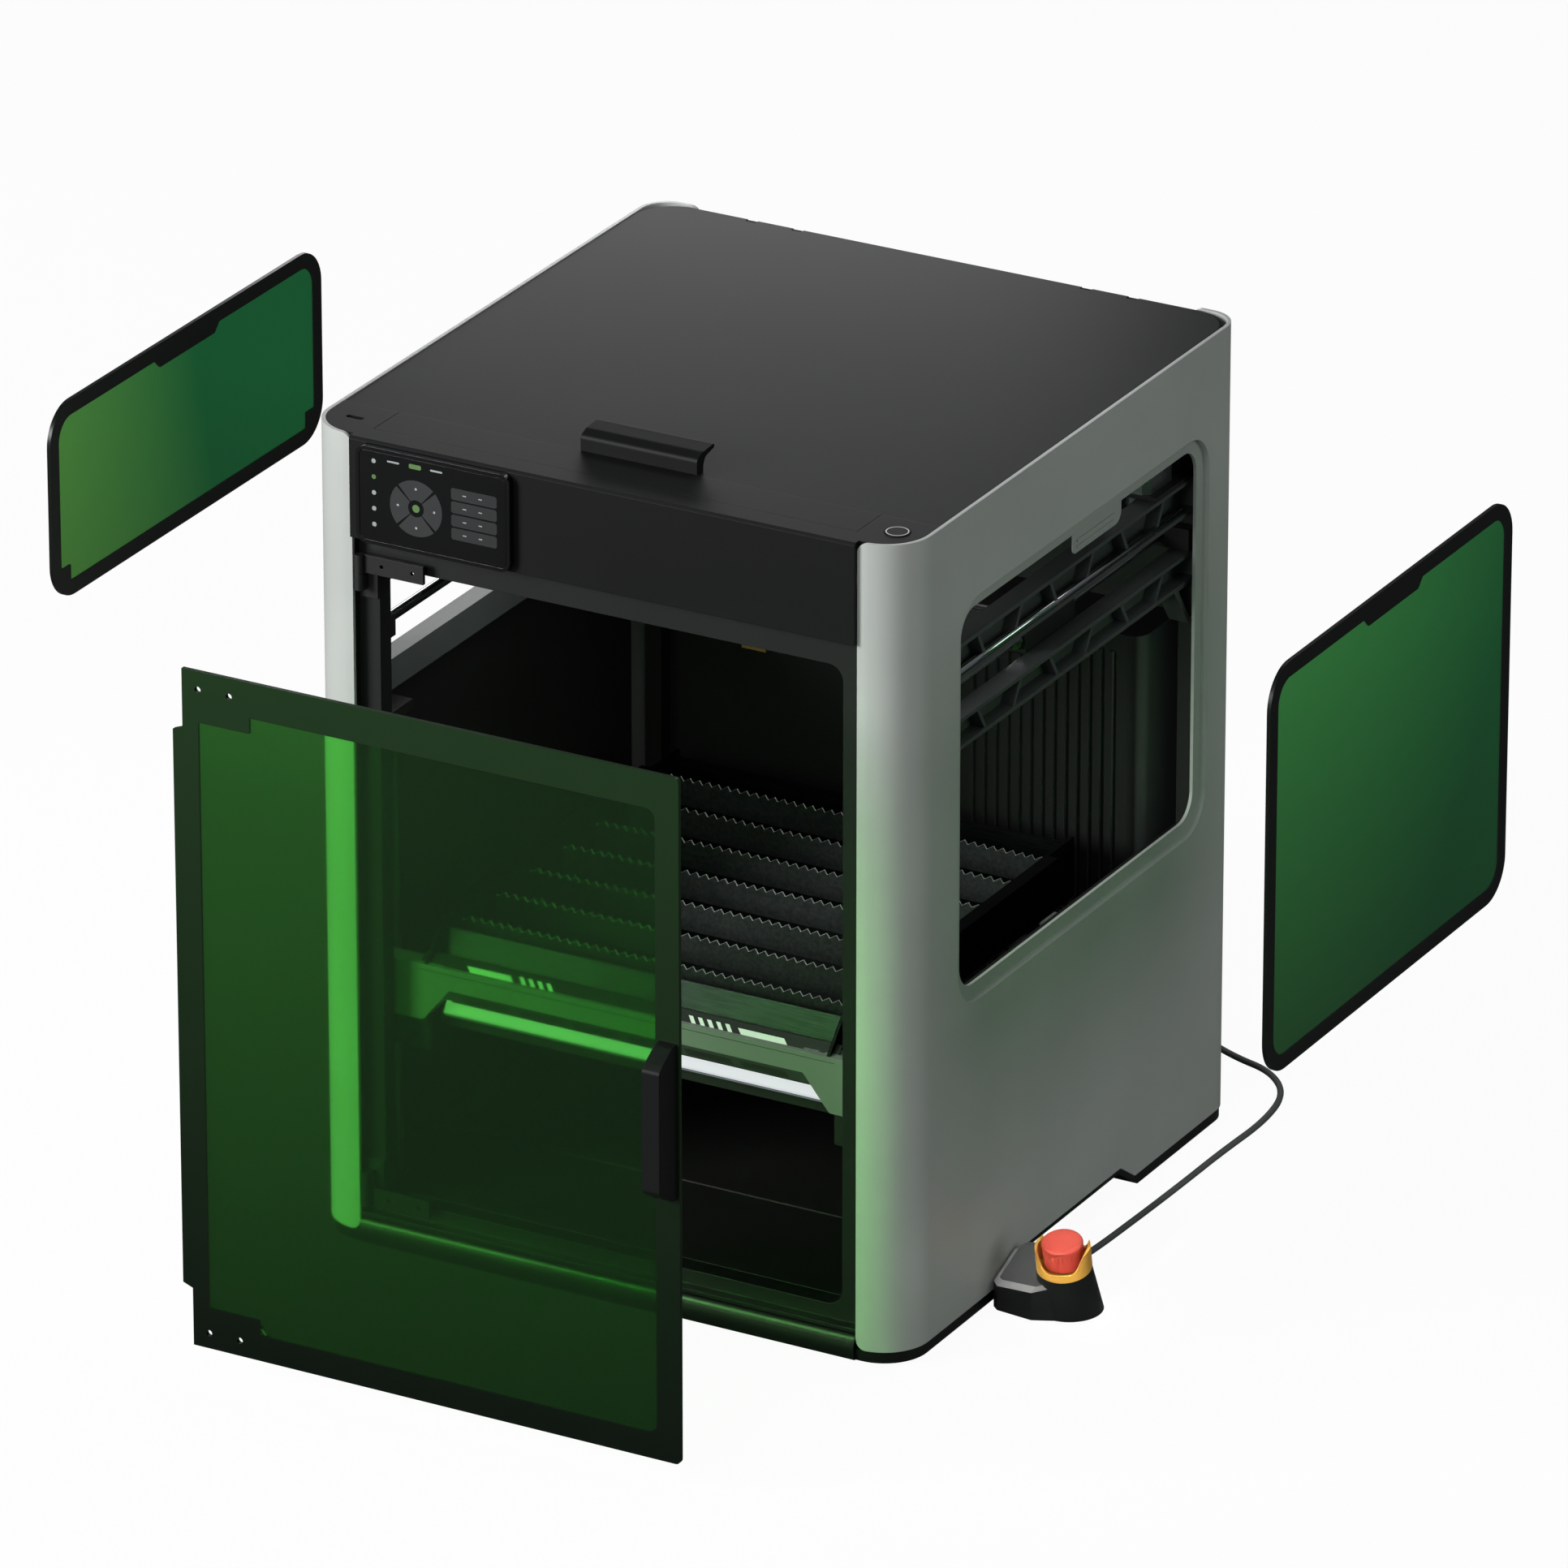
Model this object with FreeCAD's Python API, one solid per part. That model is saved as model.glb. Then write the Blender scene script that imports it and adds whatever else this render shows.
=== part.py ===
import FreeCAD, Part
import math
import os

V = FreeCAD.Vector

# Cabinet, standing on its feet: +X right, +Y rear, +Z up, origin on the floor under its middle
width = 492.0
depth = 514.0
height = 640.0
skin = 3.0
fit_gap = 0.3
front_corner_r = 36.0
rear_corner_r = 24.0
wrap = 40.0
post_set = 3.5
tip_r = 8.0
panel_bottom = 12.0

# Base plinth, its hand grips and the feet
foot_h = 3.0
foot_r = 12.0
foot_in_x = 44.0
foot_in_y = 46.0
plinth_wall = 3.0
plinth_inset = 1.0
arch_half = 102.0
arch_top = 27.5
arch_run = 23.0
arch_r = 8.0
grip_lip = 4.3
grip_depth = 28.0
rail_top = 23.2
rail_back = 9.7

# Side windows and the recess frames they drop into
right_window_w = 381.0
right_window_h = 314.0
right_window_y = 16.0
left_window_w = 387.0
left_window_h = 154.0
left_window_y = 19.0
window_drop = 71.5
window_r = 30.0
window_t = 3.0
recess = 5.0
window_fit = 0.8
flange_w = 10.0
flange_t = 2.5
latch_w = 74.0
latch_drop = 17.0
latch_off_y = 28.0
latch_set = 1.2
latch_rib = 1.6
right_pull = 248.0
left_pull = 268.0

# Door opening, door panel and its hinges
frame_set = 10.0
frame_t = 3.0
frame_in = 18.0
open_in = 56.5
open_low = 38.0
open_drop = 102.0
open_r = 12.0
jamb_depth = 12.0
sill_low = 23.5
sill_t = 3.0
door_in = 42.0
door_low = 28.0
door_drop = 85.0
door_t = 3.5
door_set = 1.3
door_pull = 250.0
hinge_step = 8.0
hinge_zone = 45.0
rim_in = 14.0
rim_w = 2.5
rim_h = 2.5
rim_jog = 11.0
rim_jog_x = 62.0
screw_hole_r = 2.5
screw_in_z = 14.0
screw_in_x = 21.0
screw_pitch = 25.5
hinge_r = 3.5
hinge_pin_r = 1.5
pin_gap = 0.05
leaf_t = 3.0
leaf_h = 14.0
leaf_reach = 52.0
handle_rise = 2.5
handle_len = 119.0
handle_w = 14.0
handle_out = 25.0
handle_wall = 5.0

# Fascia, screen and power button
fascia_h = 78.0
fascia_t = 3.0
strip_back = 56.5
cover_in = 49.0
cover_front = 20.0
shelf_t = 3.0
screen_in = 49.0
screen_w = 127.0
screen_drop = 77.0
screen_h = 75.0
screen_out = 6.0
screen_r = 8.0
bezel_w = 3.0
glass_t = 1.7
button_in = 24.3
button_back = 33.5
button_r = 9.5
button_gap = 0.3
button_proud = 0.5
button_cap_h = 4.0
button_stem_r = 4.0
button_travel = 1.5
cup_wall = 2.5
cup_deep = 15.0
slot_in = 26.5
slot_back = 32.3
slot_len = 14.0
slot_w = 5.0

# Lid with its grip, and the frame it closes on
lid_t = 4.5
lid_drop = 0.5
lid_gap = 0.6
lid_rear_in = 5.0
lid_rear_r = 33.0
lid_axis_in = 6.0
lid_ear_in = 106.0
lid_ear_w = 8.0
lid_lobe_w = 30.0
lid_pin_r = 1.2
lid_ear_r = 2.0
lid_ear_drop = 24.0
grip_half = 47.5
grip_h = 16.0
grip_wall = 9.0
grip_reach = 25.0
top_frame_t = 8.0
top_frame_in = 35.0
top_frame_front = 15.0
top_frame_rear = 18.0

# Rear panel, its vents and sockets
rear_t = 3.0
rear_wrap_in = 31.0
rear_drop = 7.0
fan_in = 136.0
fan_drop = 140.0
fan_size = 80.0
fan_t = 25.0
fan_hub_r = 14.0
fan_bore_r = 38.0
fan_shaft_r = 2.0
vent_slots = 9
vent_pitch = 8.0
vent_w = 4.0
intake_slots = 12
intake_x = -20.0
intake_z = 200.0
intake_h = 60.0
inlet_in = 96.0
inlet_z = 95.0
inlet_w = 48.0
inlet_h = 60.0
inlet_flange = 3.0
inlet_deep = 30.0
plug_w = 24.0
plug_h = 17.0
plug_deep = 17.0
rocker_w = 20.0
rocker_h = 14.0
rocker_tilt = 9.0
rocker_pin_r = 1.5

# Chamber: floor, liners, columns, beams and the covered bay at the rear
floor_top = 38.0
floor_t = 4.0
floor_in = 3.6
floor_r = 14.0
floor_front = 29.5
seam_back = 143.0
seam_w = 2.0
seam_deep = 1.0
liner_t = 2.5
liner_in = 16.5
liner_clear = 6.0
column_in = 14.0
column_w = 14.0
column_front = 18.0
column_rear = 30.0
beam_in = 30.0
beam_deep = 16.0
beam_skin = 4.0
beam_rib = 3.0
beam_bays = 8
upper_beam_drop = 140.0
upper_beam_h = 28.0
right_beam_drop = 194.0
left_beam_drop = 227.0
lower_beam_h = 24.0
gusset_w = 34.0
gusset_h = 33.0
bay_deep = 67.0
bay_in = 45.0
bay_drop = 240.0
bay_wall = 2.5
bay_r = 12.0
rib_in = 142.0
rib_count = 13
rib_pitch = 9.7
rib_w = 3.0
rib_out = 3.0

# Power supply and control board in the bay
supply_in = 11.0
supply_w = 110.0
supply_t = 42.0
supply_low = 165.0
supply_h = 165.0
supply_step = 24.0
terminal_h = 18.0
board_off = 13.0
board_in = 16.0
board_w = 150.0
board_low = 95.0
board_t = 1.6
board_edge = 7.0
board_post_r = 3.0
board_margin = 14.0
board_strip = 21.0
driver_count = 5
driver_w = 16.0
connector_h = 10.4
connector_w = 8.0

# Motion: rods, screws, gantry, tool head and drives
rod_r = 4.0
run_gap = 0.05
y_rod_in = 39.5
y_rod_drop = 161.0
rod_boss = 8.7
z_rod_in = 28.0
screw_in = 41.0
screw_back = 57.0
screw_r = 4.0
rear_screw_in = 81.0
screw_foot = 9.0
screw_boss_r = 9.0
screw_boss_top = 20.0
screw_pulley_low = 22.0
screw_drop = 235.0
screw_pulley_r = 9.0
screw_pulley_h = 10.0
gantry_y = 19.0
carriage_len = 75.0
carriage_w = 18.0
carriage_h = 24.0
bearing_r = 7.5
bearing_out = 3.0
gantry_beam_w = 28.0
gantry_beam_h = 20.0
rail_w = 12.0
rail_t = 3.0
tool_w = 60.0
tool_d = 50.0
tool_h = 100.0
tool_drop = 200.0
nozzle_drop = 212.0
nozzle_r = 6.0
motor_size = 42.0
motor_h = 38.0
motor_back = 85.0
motor_in = 42.0
shaft_r = 2.5
pulley_r = 7.0
pulley_h = 12.0
shelf_plate = 3.7
idler_back = 52.0
belt_t = 1.4
belt_w = 6.0
z_motor_x = 130.0
z_motor_y = 60.0
z_motor_h = 15.5

# Bed, with the tray of saw-tooth blades on it
bed_back = 33.0
beam_t = 16.0
bed_beam_in = 40.0
bed_beam_low = 178.0
bed_ledge = 222.0
bed_beam_rise = 20.0
bed_end_w = 38.0
bed_slant = 16.0
bed_end_r = 10.0
bar_in = 90.0
strip_in = 96.0
bar_low = 178.5
bar_h = 12.5
bar_deep = 14.0
bar_r = 4.0
vent_strip_h = 7.0
bed_vents = 6
carrier_low = 150.0
carrier_top = 178.0
carrier_arm = 12.0
nut_block = 16.0
arm_off = 80.0
arm_w = 38.0
bed_short = 107.0
tongue_half = 20.0
nut_r = 8.0
nut_out = 4.0
plate_in = 84.0
plate_low = 196.0
plate_t = 6.0
plate_back = 67.0
standoff_r = 5.0
tray_in = 81.0
tray_t = 2.5
tray_top = 250.0
tray_lip = 8.0
tray_slope = 26.0
tray_apron = 18.0
blade_t = 1.2
blade_top = 245.0
blade_h = 23.0
blade_back = 79.0
blade_end = 34.0
blade_count = 7
tooth_pitch = 8.0
tooth_h = 3.5
blade_in = 85.0

# Emergency-stop box on the floor beside the cabinet, and its cord
stop_off = 50.0
stop_y = -97.0
stop_foot_y = -96.0
stop_base_r = 25.5
stop_neck_r = 20.0
stop_neck_h = 38.0
stop_tilt = 13.0
stop_turn = 7.0
stop_gap = 1.6
stop_front = -128.8
stop_back = -81.0
stop_side_front = -121.2
stop_side_back = -89.0
stop_nose = 34.7
stop_cut_x = 5.2
stop_cut_y = 3.0
stop_cut_back = 7.0
stop_low = 19.4
stop_rise = 0.38
stop_bank = 0.12
bevel_in = 4.0
bevel_up = 2.0
collar_r = 20.4
collar_t = 2.3
collar_low = 6.2
collar_ear = 18.5
ear_turn = 14.0
saddle_low = 12.0
saddle_high = 18.0
saddle_r = 7.0
collar_floor = 1.5
cap_r = 15.5
cap_h = 19.0
cap_flutes = 28
flute_r = 0.9
cap_lift = 3.0
stem_r = 6.0
stem_len = 14.0
stop_travel = 2.5
cord_r = 2.5
relief_r = 4.5
relief_len = 18.0
socket_in = 136.0
socket_z = 50.0
socket_r = 7.5
socket_out = 7.3
plug_r = 6.3
plug_len = 22.0
plug_tail = 16.0
cord_side = [(27.0, -64.0, 10.5), (25.0, -14.0, 4.2), (25.8, 49.0, 2.7), (27.6, 118.0, 2.7)]
cord_corner = [(28.0, -69.0, 2.7), (31.0, -7.0, 2.7), (22.5, 43.0, 2.7), (-5.0, 74.0, 2.7)]
cord_rear = [
    (96.0, 84.0, 2.7), (66.0, 99.0, 2.7), (40.0, 117.0, 4.0), (17.0, 122.0, 15.0), (2.0, 110.0, 33.0),
    (0.0, 84.0, 50.0), (0.0, 58.0, 50.0),
]

# Values that follow from the sizes above
half_w = width / 2
front_face = -depth / 2
rear_face = depth / 2
frame_half = half_w - frame_in
open_half = half_w - open_in
door_half = half_w - door_in
liner_x = half_w - liner_in
beam_x = half_w - beam_in
bed_beam_half = half_w - bed_beam_in
bar_half = half_w - bar_in
strip_half = half_w - strip_in
arm_in = half_w - arm_off
plate_half = half_w - plate_in
tray_half = half_w - tray_in
blade_half = half_w - blade_in
cover_half = half_w - cover_in
button_x = half_w - button_in
rear_half = half_w - rear_wrap_in
y_rod_x = half_w - y_rod_in
z_rod_x = half_w - z_rod_in
screw_x = half_w - screw_in
motor_x = half_w - motor_in
bay_half = half_w - bay_in
fan_x = half_w - fan_in
lid_ear_x = half_w - lid_ear_in
socket_x = half_w - socket_in
screen_left = -half_w + screen_in
slot_x = -half_w + slot_in
inlet_x = -half_w + inlet_in
stop_x = half_w + stop_off
stop_left = half_w + stop_gap
window_top = height - window_drop
fascia_low = height - fascia_h
screen_low = height - screen_drop
rear_top = height - rear_drop
open_high = height - open_drop
door_high = height - door_drop
upper_beam_low = height - upper_beam_drop
y_rod_z = height - y_rod_drop
right_beam_low = height - right_beam_drop
left_beam_low = height - left_beam_drop
screw_head = height - screw_drop
bay_top = height - bay_drop
tool_low = height - tool_drop
nozzle_tip = height - nozzle_drop
fan_z = height - fan_drop
screw_y = front_face + screw_back
idler_y = front_face + idler_back
bed_front = front_face + bed_back
plate_front = front_face + plate_back
blade_first = front_face + blade_back
seam_y = front_face + seam_back
button_y = front_face + button_back
slot_y = front_face + slot_back
bay_front = rear_face - bay_deep
rear_screw_y = rear_face - rear_screw_in
motor_y = rear_face - motor_back
bed_rear = rear_face - bed_short
rib_first = bay_half - rib_in
blade_pitch = (bed_rear - blade_end - blade_first) / (blade_count - 1)
handle_mid = (door_low + door_high) / 2 + handle_rise
cord_points = [(half_w + x, y, z) for x, y, z in cord_side]
cord_points += [(half_w + x, rear_face + y, z) for x, y, z in cord_corner]
cord_points += [(socket_x + x, rear_face + y, z) for x, y, z in cord_rear]
inner_x = half_w - skin
post_face = front_face + post_set
post_back = post_face + skin
wrap_x = half_w - wrap
frame_face = post_face + frame_set
frame_back = frame_face + frame_t
rear_out = rear_face - skin - fit_gap
rear_in = rear_out - rear_t
lid_top = height - lid_drop
lid_low = lid_top - lid_t
lid_front = front_face + strip_back
lid_rear = rear_face - lid_rear_in
lid_axis_y = rear_face - lid_axis_in
lid_axis_z = (lid_top + lid_low) / 2
door_face = front_face + door_set
door_back = door_face + door_t
hinge_x = -door_half + hinge_r
hinge_y = post_face + 0.5
seat_x = half_w - recess
column_x0 = half_w - column_in - column_w
column_x1 = half_w - column_in
column_f0 = frame_back + fit_gap
column_f1 = column_f0 + column_front
column_r1 = rear_in - 6.0
column_r0 = column_r1 - column_rear
beam_top = upper_beam_low + upper_beam_h
floor_y0 = front_face + floor_front
motor_low = beam_top + shelf_plate
top_frame_top = lid_low - fit_gap
top_frame_low = top_frame_top - top_frame_t
windows = {
    "right": (right_window_y, right_window_w, right_window_h),
    "left": (left_window_y, left_window_w, left_window_h),
}
screw_spots = [(-screw_x, screw_y), (screw_x, screw_y), (0.0, rear_screw_y)]


def place(plane, u, v, w):
    """Point (u, v) of a drawing plane, w along the plane's normal."""
    if plane == "xy":
        return V(u, v, w)
    if plane == "xz":
        return V(u, w, v)
    return V(w, u, v)


def outline(corners, plane, w):
    """Closed wire through (u, v, radius) corners, rounded where the radius isn't zero."""
    spans = []
    for i, (u, v, r) in enumerate(corners):
        here = V(u, v, 0)
        before = V(corners[i - 1][0], corners[i - 1][1], 0) - here
        after = corners[(i + 1) % len(corners)]
        after = V(after[0], after[1], 0) - here
        before.normalize()
        after.normalize()
        if r <= 0:
            spans.append((here, None, here))
            continue
        half = before.getAngle(after) / 2
        middle = before + after
        middle.normalize()
        reach = r / math.tan(half)
        spans.append((here + before * reach, here + middle * (r / math.sin(half) - r), here + after * reach))
    edges = []
    for i, (start, mid, end) in enumerate(spans):
        if mid is not None:
            arc = [place(plane, p.x, p.y, w) for p in (start, mid, end)]
            edges.append(Part.Arc(*arc).toShape())
        following = spans[(i + 1) % len(spans)][0]
        if end.distanceToPoint(following) > 1e-6:
            a = place(plane, end.x, end.y, w)
            b = place(plane, following.x, following.y, w)
            edges.append(Part.LineSegment(a, b).toShape())
    return Part.Wire(edges)


def slab(corners, plane, w0, w1):
    """Solid between two parallel planes with the given outline."""
    face = Part.Face(outline(corners, plane, w0))
    return face.extrude(place(plane, 0, 0, w1 - w0))


def rect(u0, u1, v0, v1, r=0.0):
    return [(u0, v0, r), (u1, v0, r), (u1, v1, r), (u0, v1, r)]


def block(x0, x1, y0, y1, z0, z1):
    return Part.makeBox(x1 - x0, y1 - y0, z1 - z0, V(x0, y0, z0))


def rod(radius, start, end):
    return Part.makeCylinder(radius, (end - start).Length, start, end - start)


def upright(radius, x, y, z0, z1):
    return Part.makeCylinder(radius, z1 - z0, V(x, y, z0))


def fused(shapes):
    return shapes[0].fuse(shapes[1:]).removeSplitter()


def flipped(shape):
    return shape.mirror(V(0, 0, 0), V(1, 0, 0))


def both(shape):
    return Part.makeCompound([shape, flipped(shape)])


def plan(inset, front, back):
    """Cabinet's plan, drawn in by inset, with the front and rear corners rounded."""
    x = half_w - inset
    rf = front_corner_r - inset
    rr = rear_corner_r - inset
    return [(-x, front, rf), (x, front, rf), (x, back, rr), (-x, back, rr)]


def arch(inset):
    """Side view of the hand-grip arch at the foot of a side, drawn in by inset."""
    rise = arch_top - panel_bottom
    foot = arch_half - inset * math.hypot(arch_run, rise) / rise
    low = -1.0
    lean = arch_run / rise
    y_low = foot + lean * (panel_bottom - low)
    y_top = foot - lean * (arch_top - inset - panel_bottom)
    r = arch_r - min(inset, arch_r - 1)
    return [(-y_low, low, 0), (y_low, low, 0), (y_top, arch_top - inset, r), (-y_top, arch_top - inset, r)]


def window_rect(side, grow):
    y, w, h = windows[side]
    return rect(y - w / 2 - grow, y + w / 2 + grow, window_top - h - grow, window_top + grow, window_r + grow)


def tip(x, z, sx, sz, y0, y1):
    """Waste outside a rounded sheet corner at (x, z)."""
    square = block(min(x, x + sx * tip_r), max(x, x + sx * tip_r), y0, y1,
                   min(z, z + sz * tip_r), max(z, z + sz * tip_r))
    return square.cut(rod(tip_r, V(x + sx * tip_r, y0, z + sz * tip_r),
                          V(x + sx * tip_r, y1, z + sz * tip_r)))


def side_panel(side):
    """Sheet side that wraps both corners, with its window cut-out and hand-grip arch (right-hand form)."""
    corners = [
        (wrap_x, post_face, 0), (half_w, post_face, front_corner_r),
        (half_w, rear_face, rear_corner_r), (wrap_x, rear_face, 0),
        (wrap_x, rear_face - skin, 0), (inner_x, rear_face - skin, rear_corner_r - skin),
        (inner_x, post_back, front_corner_r - skin), (wrap_x, post_back, 0),
    ]
    panel = slab(corners, "xy", panel_bottom, height)
    waste = [
        slab(arch(0.0), "yz", inner_x - 1, half_w + 1),
        slab(window_rect(side, window_fit), "yz", inner_x - 1, half_w + 1),
    ]
    for y0, y1 in ((post_face - 1, post_back + 1), (rear_face - skin - 1, rear_face + 1)):
        waste.append(tip(wrap_x, panel_bottom, 1, 1, y0, y1))
        waste.append(tip(wrap_x, height, 1, -1, y0, y1))
    return panel.cut(waste).removeSplitter()


def window_frame(side):
    """Recess frame behind a window cut-out: a wall, a flange the window lies on and a latch tab."""
    x0 = seat_x - flange_t
    wall = slab(window_rect(side, window_fit + flange_t), "yz", x0, inner_x)
    wall = wall.cut(slab(window_rect(side, window_fit), "yz", seat_x, inner_x + 1))
    frame = wall.cut(slab(window_rect(side, -flange_w), "yz", x0 - 1, inner_x + 1))
    y = windows[side][0] + latch_off_y
    top = window_top - flange_w
    low = top - latch_drop
    tab = slab([(y - latch_w / 2, top + 1, 0), (y - latch_w / 2, low, 4), (y + latch_w / 2, low, 9),
                (y + latch_w / 2, top + 1, 0)], "yz", x0, seat_x - latch_set)
    ribs = [block(seat_x - latch_set, seat_x, y - latch_w / 2 + 5, y + latch_w / 2 - 12, z, z + latch_rib)
            for z in (low + 4.0, low + 9.0)]
    return fused([frame, tab] + ribs)


def window_panel(side):
    """Tinted window, pulled straight off its seat (right-hand form)."""
    pull = right_pull if side == "right" else left_pull
    x = seat_x + fit_gap + pull
    return slab(window_rect(side, 0.0), "yz", x, x + window_t)


def base_plinth():
    """Tray under the cabinet, with a rounded front rail and a hand grip in each side."""
    low = foot_h
    band_top = panel_bottom - fit_gap
    front = post_face + plinth_inset
    back = rear_face - plinth_inset
    tray = slab(plan(plinth_inset, front, back), "xy", low, band_top)
    hollow = plinth_inset + plinth_wall
    tray = tray.cut(slab(plan(hollow, front + plinth_wall, back - plinth_wall), "xy", low + plinth_wall,
                         band_top + 1))
    inset = skin + fit_gap
    up_front = frame_face + fit_gap
    up_back = rear_face - inset
    floor_low = floor_top - floor_t
    stand = slab(plan(inset, up_front, up_back), "xy", low, floor_low)
    inner = slab(plan(inset + plinth_wall, up_front + plinth_wall, up_back - plinth_wall), "xy", low,
                 floor_low + 1)
    stand = stand.cut(inner)
    stand = stand.cut(block(-half_w, half_w, up_front - 1, floor_y0, sill_low - fit_gap, floor_low + 1))
    rail_half = wrap_x - fit_gap
    rail = slab([(front, low, 0), (front_face + 2.0, low, 2), (front_face, panel_bottom, 20),
                 (front_face + 3.5, rail_top, 6), (front_face + rail_back + 3.5, rail_top, 0),
                 (front_face + rail_back + 3.5, band_top - 2, 0), (front, band_top - 2, 0)],
                "yz", -rail_half, rail_half)
    grip = slab(arch(fit_gap), "yz", half_w - grip_depth - plinth_wall, half_w - plinth_inset)
    grip = grip.common(block(0, half_w, -half_w, half_w, low, height))
    pocket = slab(arch(grip_lip), "yz", half_w - grip_depth, half_w + 1)
    seats = [upright(screw_boss_r, x, y, low + 1, screw_boss_top) for x, y in screw_spots]
    bores = [upright(screw_r + pin_gap, x, y, screw_foot, screw_boss_top + 1) for x, y in screw_spots]
    body = fused([tray, stand, rail, grip, flipped(grip)] + seats)
    return body.cut([pocket, flipped(pocket)] + bores).removeSplitter()


def rubber_feet():
    x = half_w - foot_in_x
    y = rear_face - foot_in_y
    return Part.makeCompound([upright(foot_r, sx * x, sy * y, 0, foot_h) for sx in (-1, 1) for sy in (-1, 1)])


def door_frame():
    """Front bulkhead with the door opening, side lands behind the posts, jambs and the sill lip."""
    low = sill_low + fit_gap
    high = fascia_low + 38.0
    plate = slab(rect(-frame_half, frame_half, low, high), "xz", frame_face, frame_back)
    land_in = wrap_x + fit_gap
    land = block(land_in, land_in + 5.5, post_back + fit_gap, frame_face, low, high)
    sill = block(-land_in + 0.8, land_in - 0.8, frame_face - 9.0, frame_face, low, low + sill_t)
    jamb = slab(rect(-open_half - frame_t, open_half + frame_t, open_low - frame_t, open_high + frame_t,
                     open_r + frame_t), "xz", frame_back, frame_back + jamb_depth)
    body = fused([plate, land, flipped(land), sill, jamb])
    hole = slab(rect(-open_half, open_half, open_low, open_high, open_r), "xz", frame_face - 1,
                frame_back + jamb_depth + 1)
    return body.cut(hole).removeSplitter()


def front_fascia():
    """Upper front cover: front wall, top border with both corners, a shelf and the button's cup."""
    half = wrap_x - fit_gap
    x = inner_x - fit_gap
    y = post_back + fit_gap
    r = front_corner_r - skin - fit_gap
    back = lid_front - fit_gap
    wall = block(-half, half, front_face, front_face + fascia_t, fascia_low, height)
    foot = block(-half, half, front_face, frame_face - fit_gap, fascia_low, fascia_low + fascia_t)
    top = slab([(-half, front_face, 0), (half, front_face, 0), (half, y, 0), (x, y, r), (x, back, 0),
                (-x, back, 0),
                (-x, y, r), (-half, y, 0)], "xy", height - fascia_t, height)
    shelf_z = height - fascia_t
    shelf = block(-half, half, front_face, back, shelf_z - shelf_t, shelf_z)
    cup_r = button_r + button_gap + cup_wall
    cup = upright(cup_r, button_x, button_y, height - cup_deep - cup_wall, height - fascia_t)
    well = slab(rect(slot_x - slot_len / 2 - 2, slot_x + slot_len / 2 + 2, slot_y - slot_w / 2 - 2,
                     slot_y + slot_w / 2 + 2), "xy", height - cup_deep, height - fascia_t)
    body = fused([wall, foot, top, shelf, cup, well])
    cover = block(-cover_half, cover_half, front_face + cover_front, back + 1, height - fascia_t, height + 1)
    bore = upright(button_r + button_gap, button_x, button_y, height - cup_deep, height + 1)
    slot = slab(rect(slot_x - slot_len / 2, slot_x + slot_len / 2, slot_y - slot_w / 2, slot_y + slot_w / 2,
                     slot_w / 2 - 0.2), "xy", height - cup_deep + cup_wall, height + 1)
    body = body.cut([cover, bore, slot]).removeSplitter()
    bevel = 2.0
    edge = slab([(front_face, height - bevel, 0), (front_face, height + 1, 0),
                 (front_face + bevel + 1, height + 1, 0),
                 (front_face + bevel, height, 0)], "yz", -half - 1, half + 1)
    return body.cut(edge)


def top_front_cover():
    gap = fit_gap + 0.1
    return block(-cover_half + gap, cover_half - gap, front_face + cover_front + gap, lid_front - fit_gap,
                 height - fascia_t, height)


def power_button():
    """Round push button with a stem, standing in the fascia's cup."""
    top = height + button_proud
    cap = upright(button_r, button_x, button_y, top - button_cap_h, top)
    ring = cap.makeFillet(0.6, [cap.Edges[0]])
    low = height - cup_deep + button_travel + fit_gap
    return fused([ring, upright(button_stem_r, button_x, button_y, low, top - button_cap_h + 1)])


def screen_outline(inset):
    return rect(screen_left + inset, screen_left + screen_w - inset, screen_low + inset,
                screen_low + screen_h - inset, screen_r - inset)


def screen_bezel():
    body = slab(screen_outline(0.0), "xz", front_face - screen_out, front_face)
    pocket = slab(screen_outline(bezel_w), "xz", front_face - screen_out - 1,
                  front_face - screen_out + glass_t + 0.2)
    return body.cut(pocket)


def screen_glass():
    y = front_face - screen_out + 0.2
    return slab(screen_outline(bezel_w + fit_gap), "xz", y, y + glass_t)


def lid_ears():
    """Places along X of the fixed hinge ears: a pair each side of every lid lobe."""
    return [side * lid_ear_x + end * (lid_lobe_w + lid_ear_w + 2 * fit_gap) / 2 for side in (-1, 1)
            for end in (-1, 1)]


def lid_panel():
    """Flat lid inside the side panels' rims, notched round the hinge ears and bored for their pins."""
    x = inner_x - lid_gap
    r = lid_rear_r
    panel = slab([(-x, lid_front, 0), (x, lid_front, 0), (x, lid_rear, r), (-x, lid_rear, r)], "xy",
                 lid_low, lid_top)
    waste = []
    for ear in lid_ears():
        half = lid_ear_w / 2 + fit_gap
        waste.append(block(ear - half, ear + half, lid_axis_y - lid_ear_r - 0.9, lid_rear + 1, lid_low - 1,
                           lid_top + 1))
    for side in (-1, 1):
        span = lid_lobe_w / 2 + lid_ear_w
        waste.append(rod(lid_pin_r + pin_gap, V(side * lid_ear_x - span, lid_axis_y, lid_axis_z),
                         V(side * lid_ear_x + span, lid_axis_y, lid_axis_z)))
    return panel.cut(waste)


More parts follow.
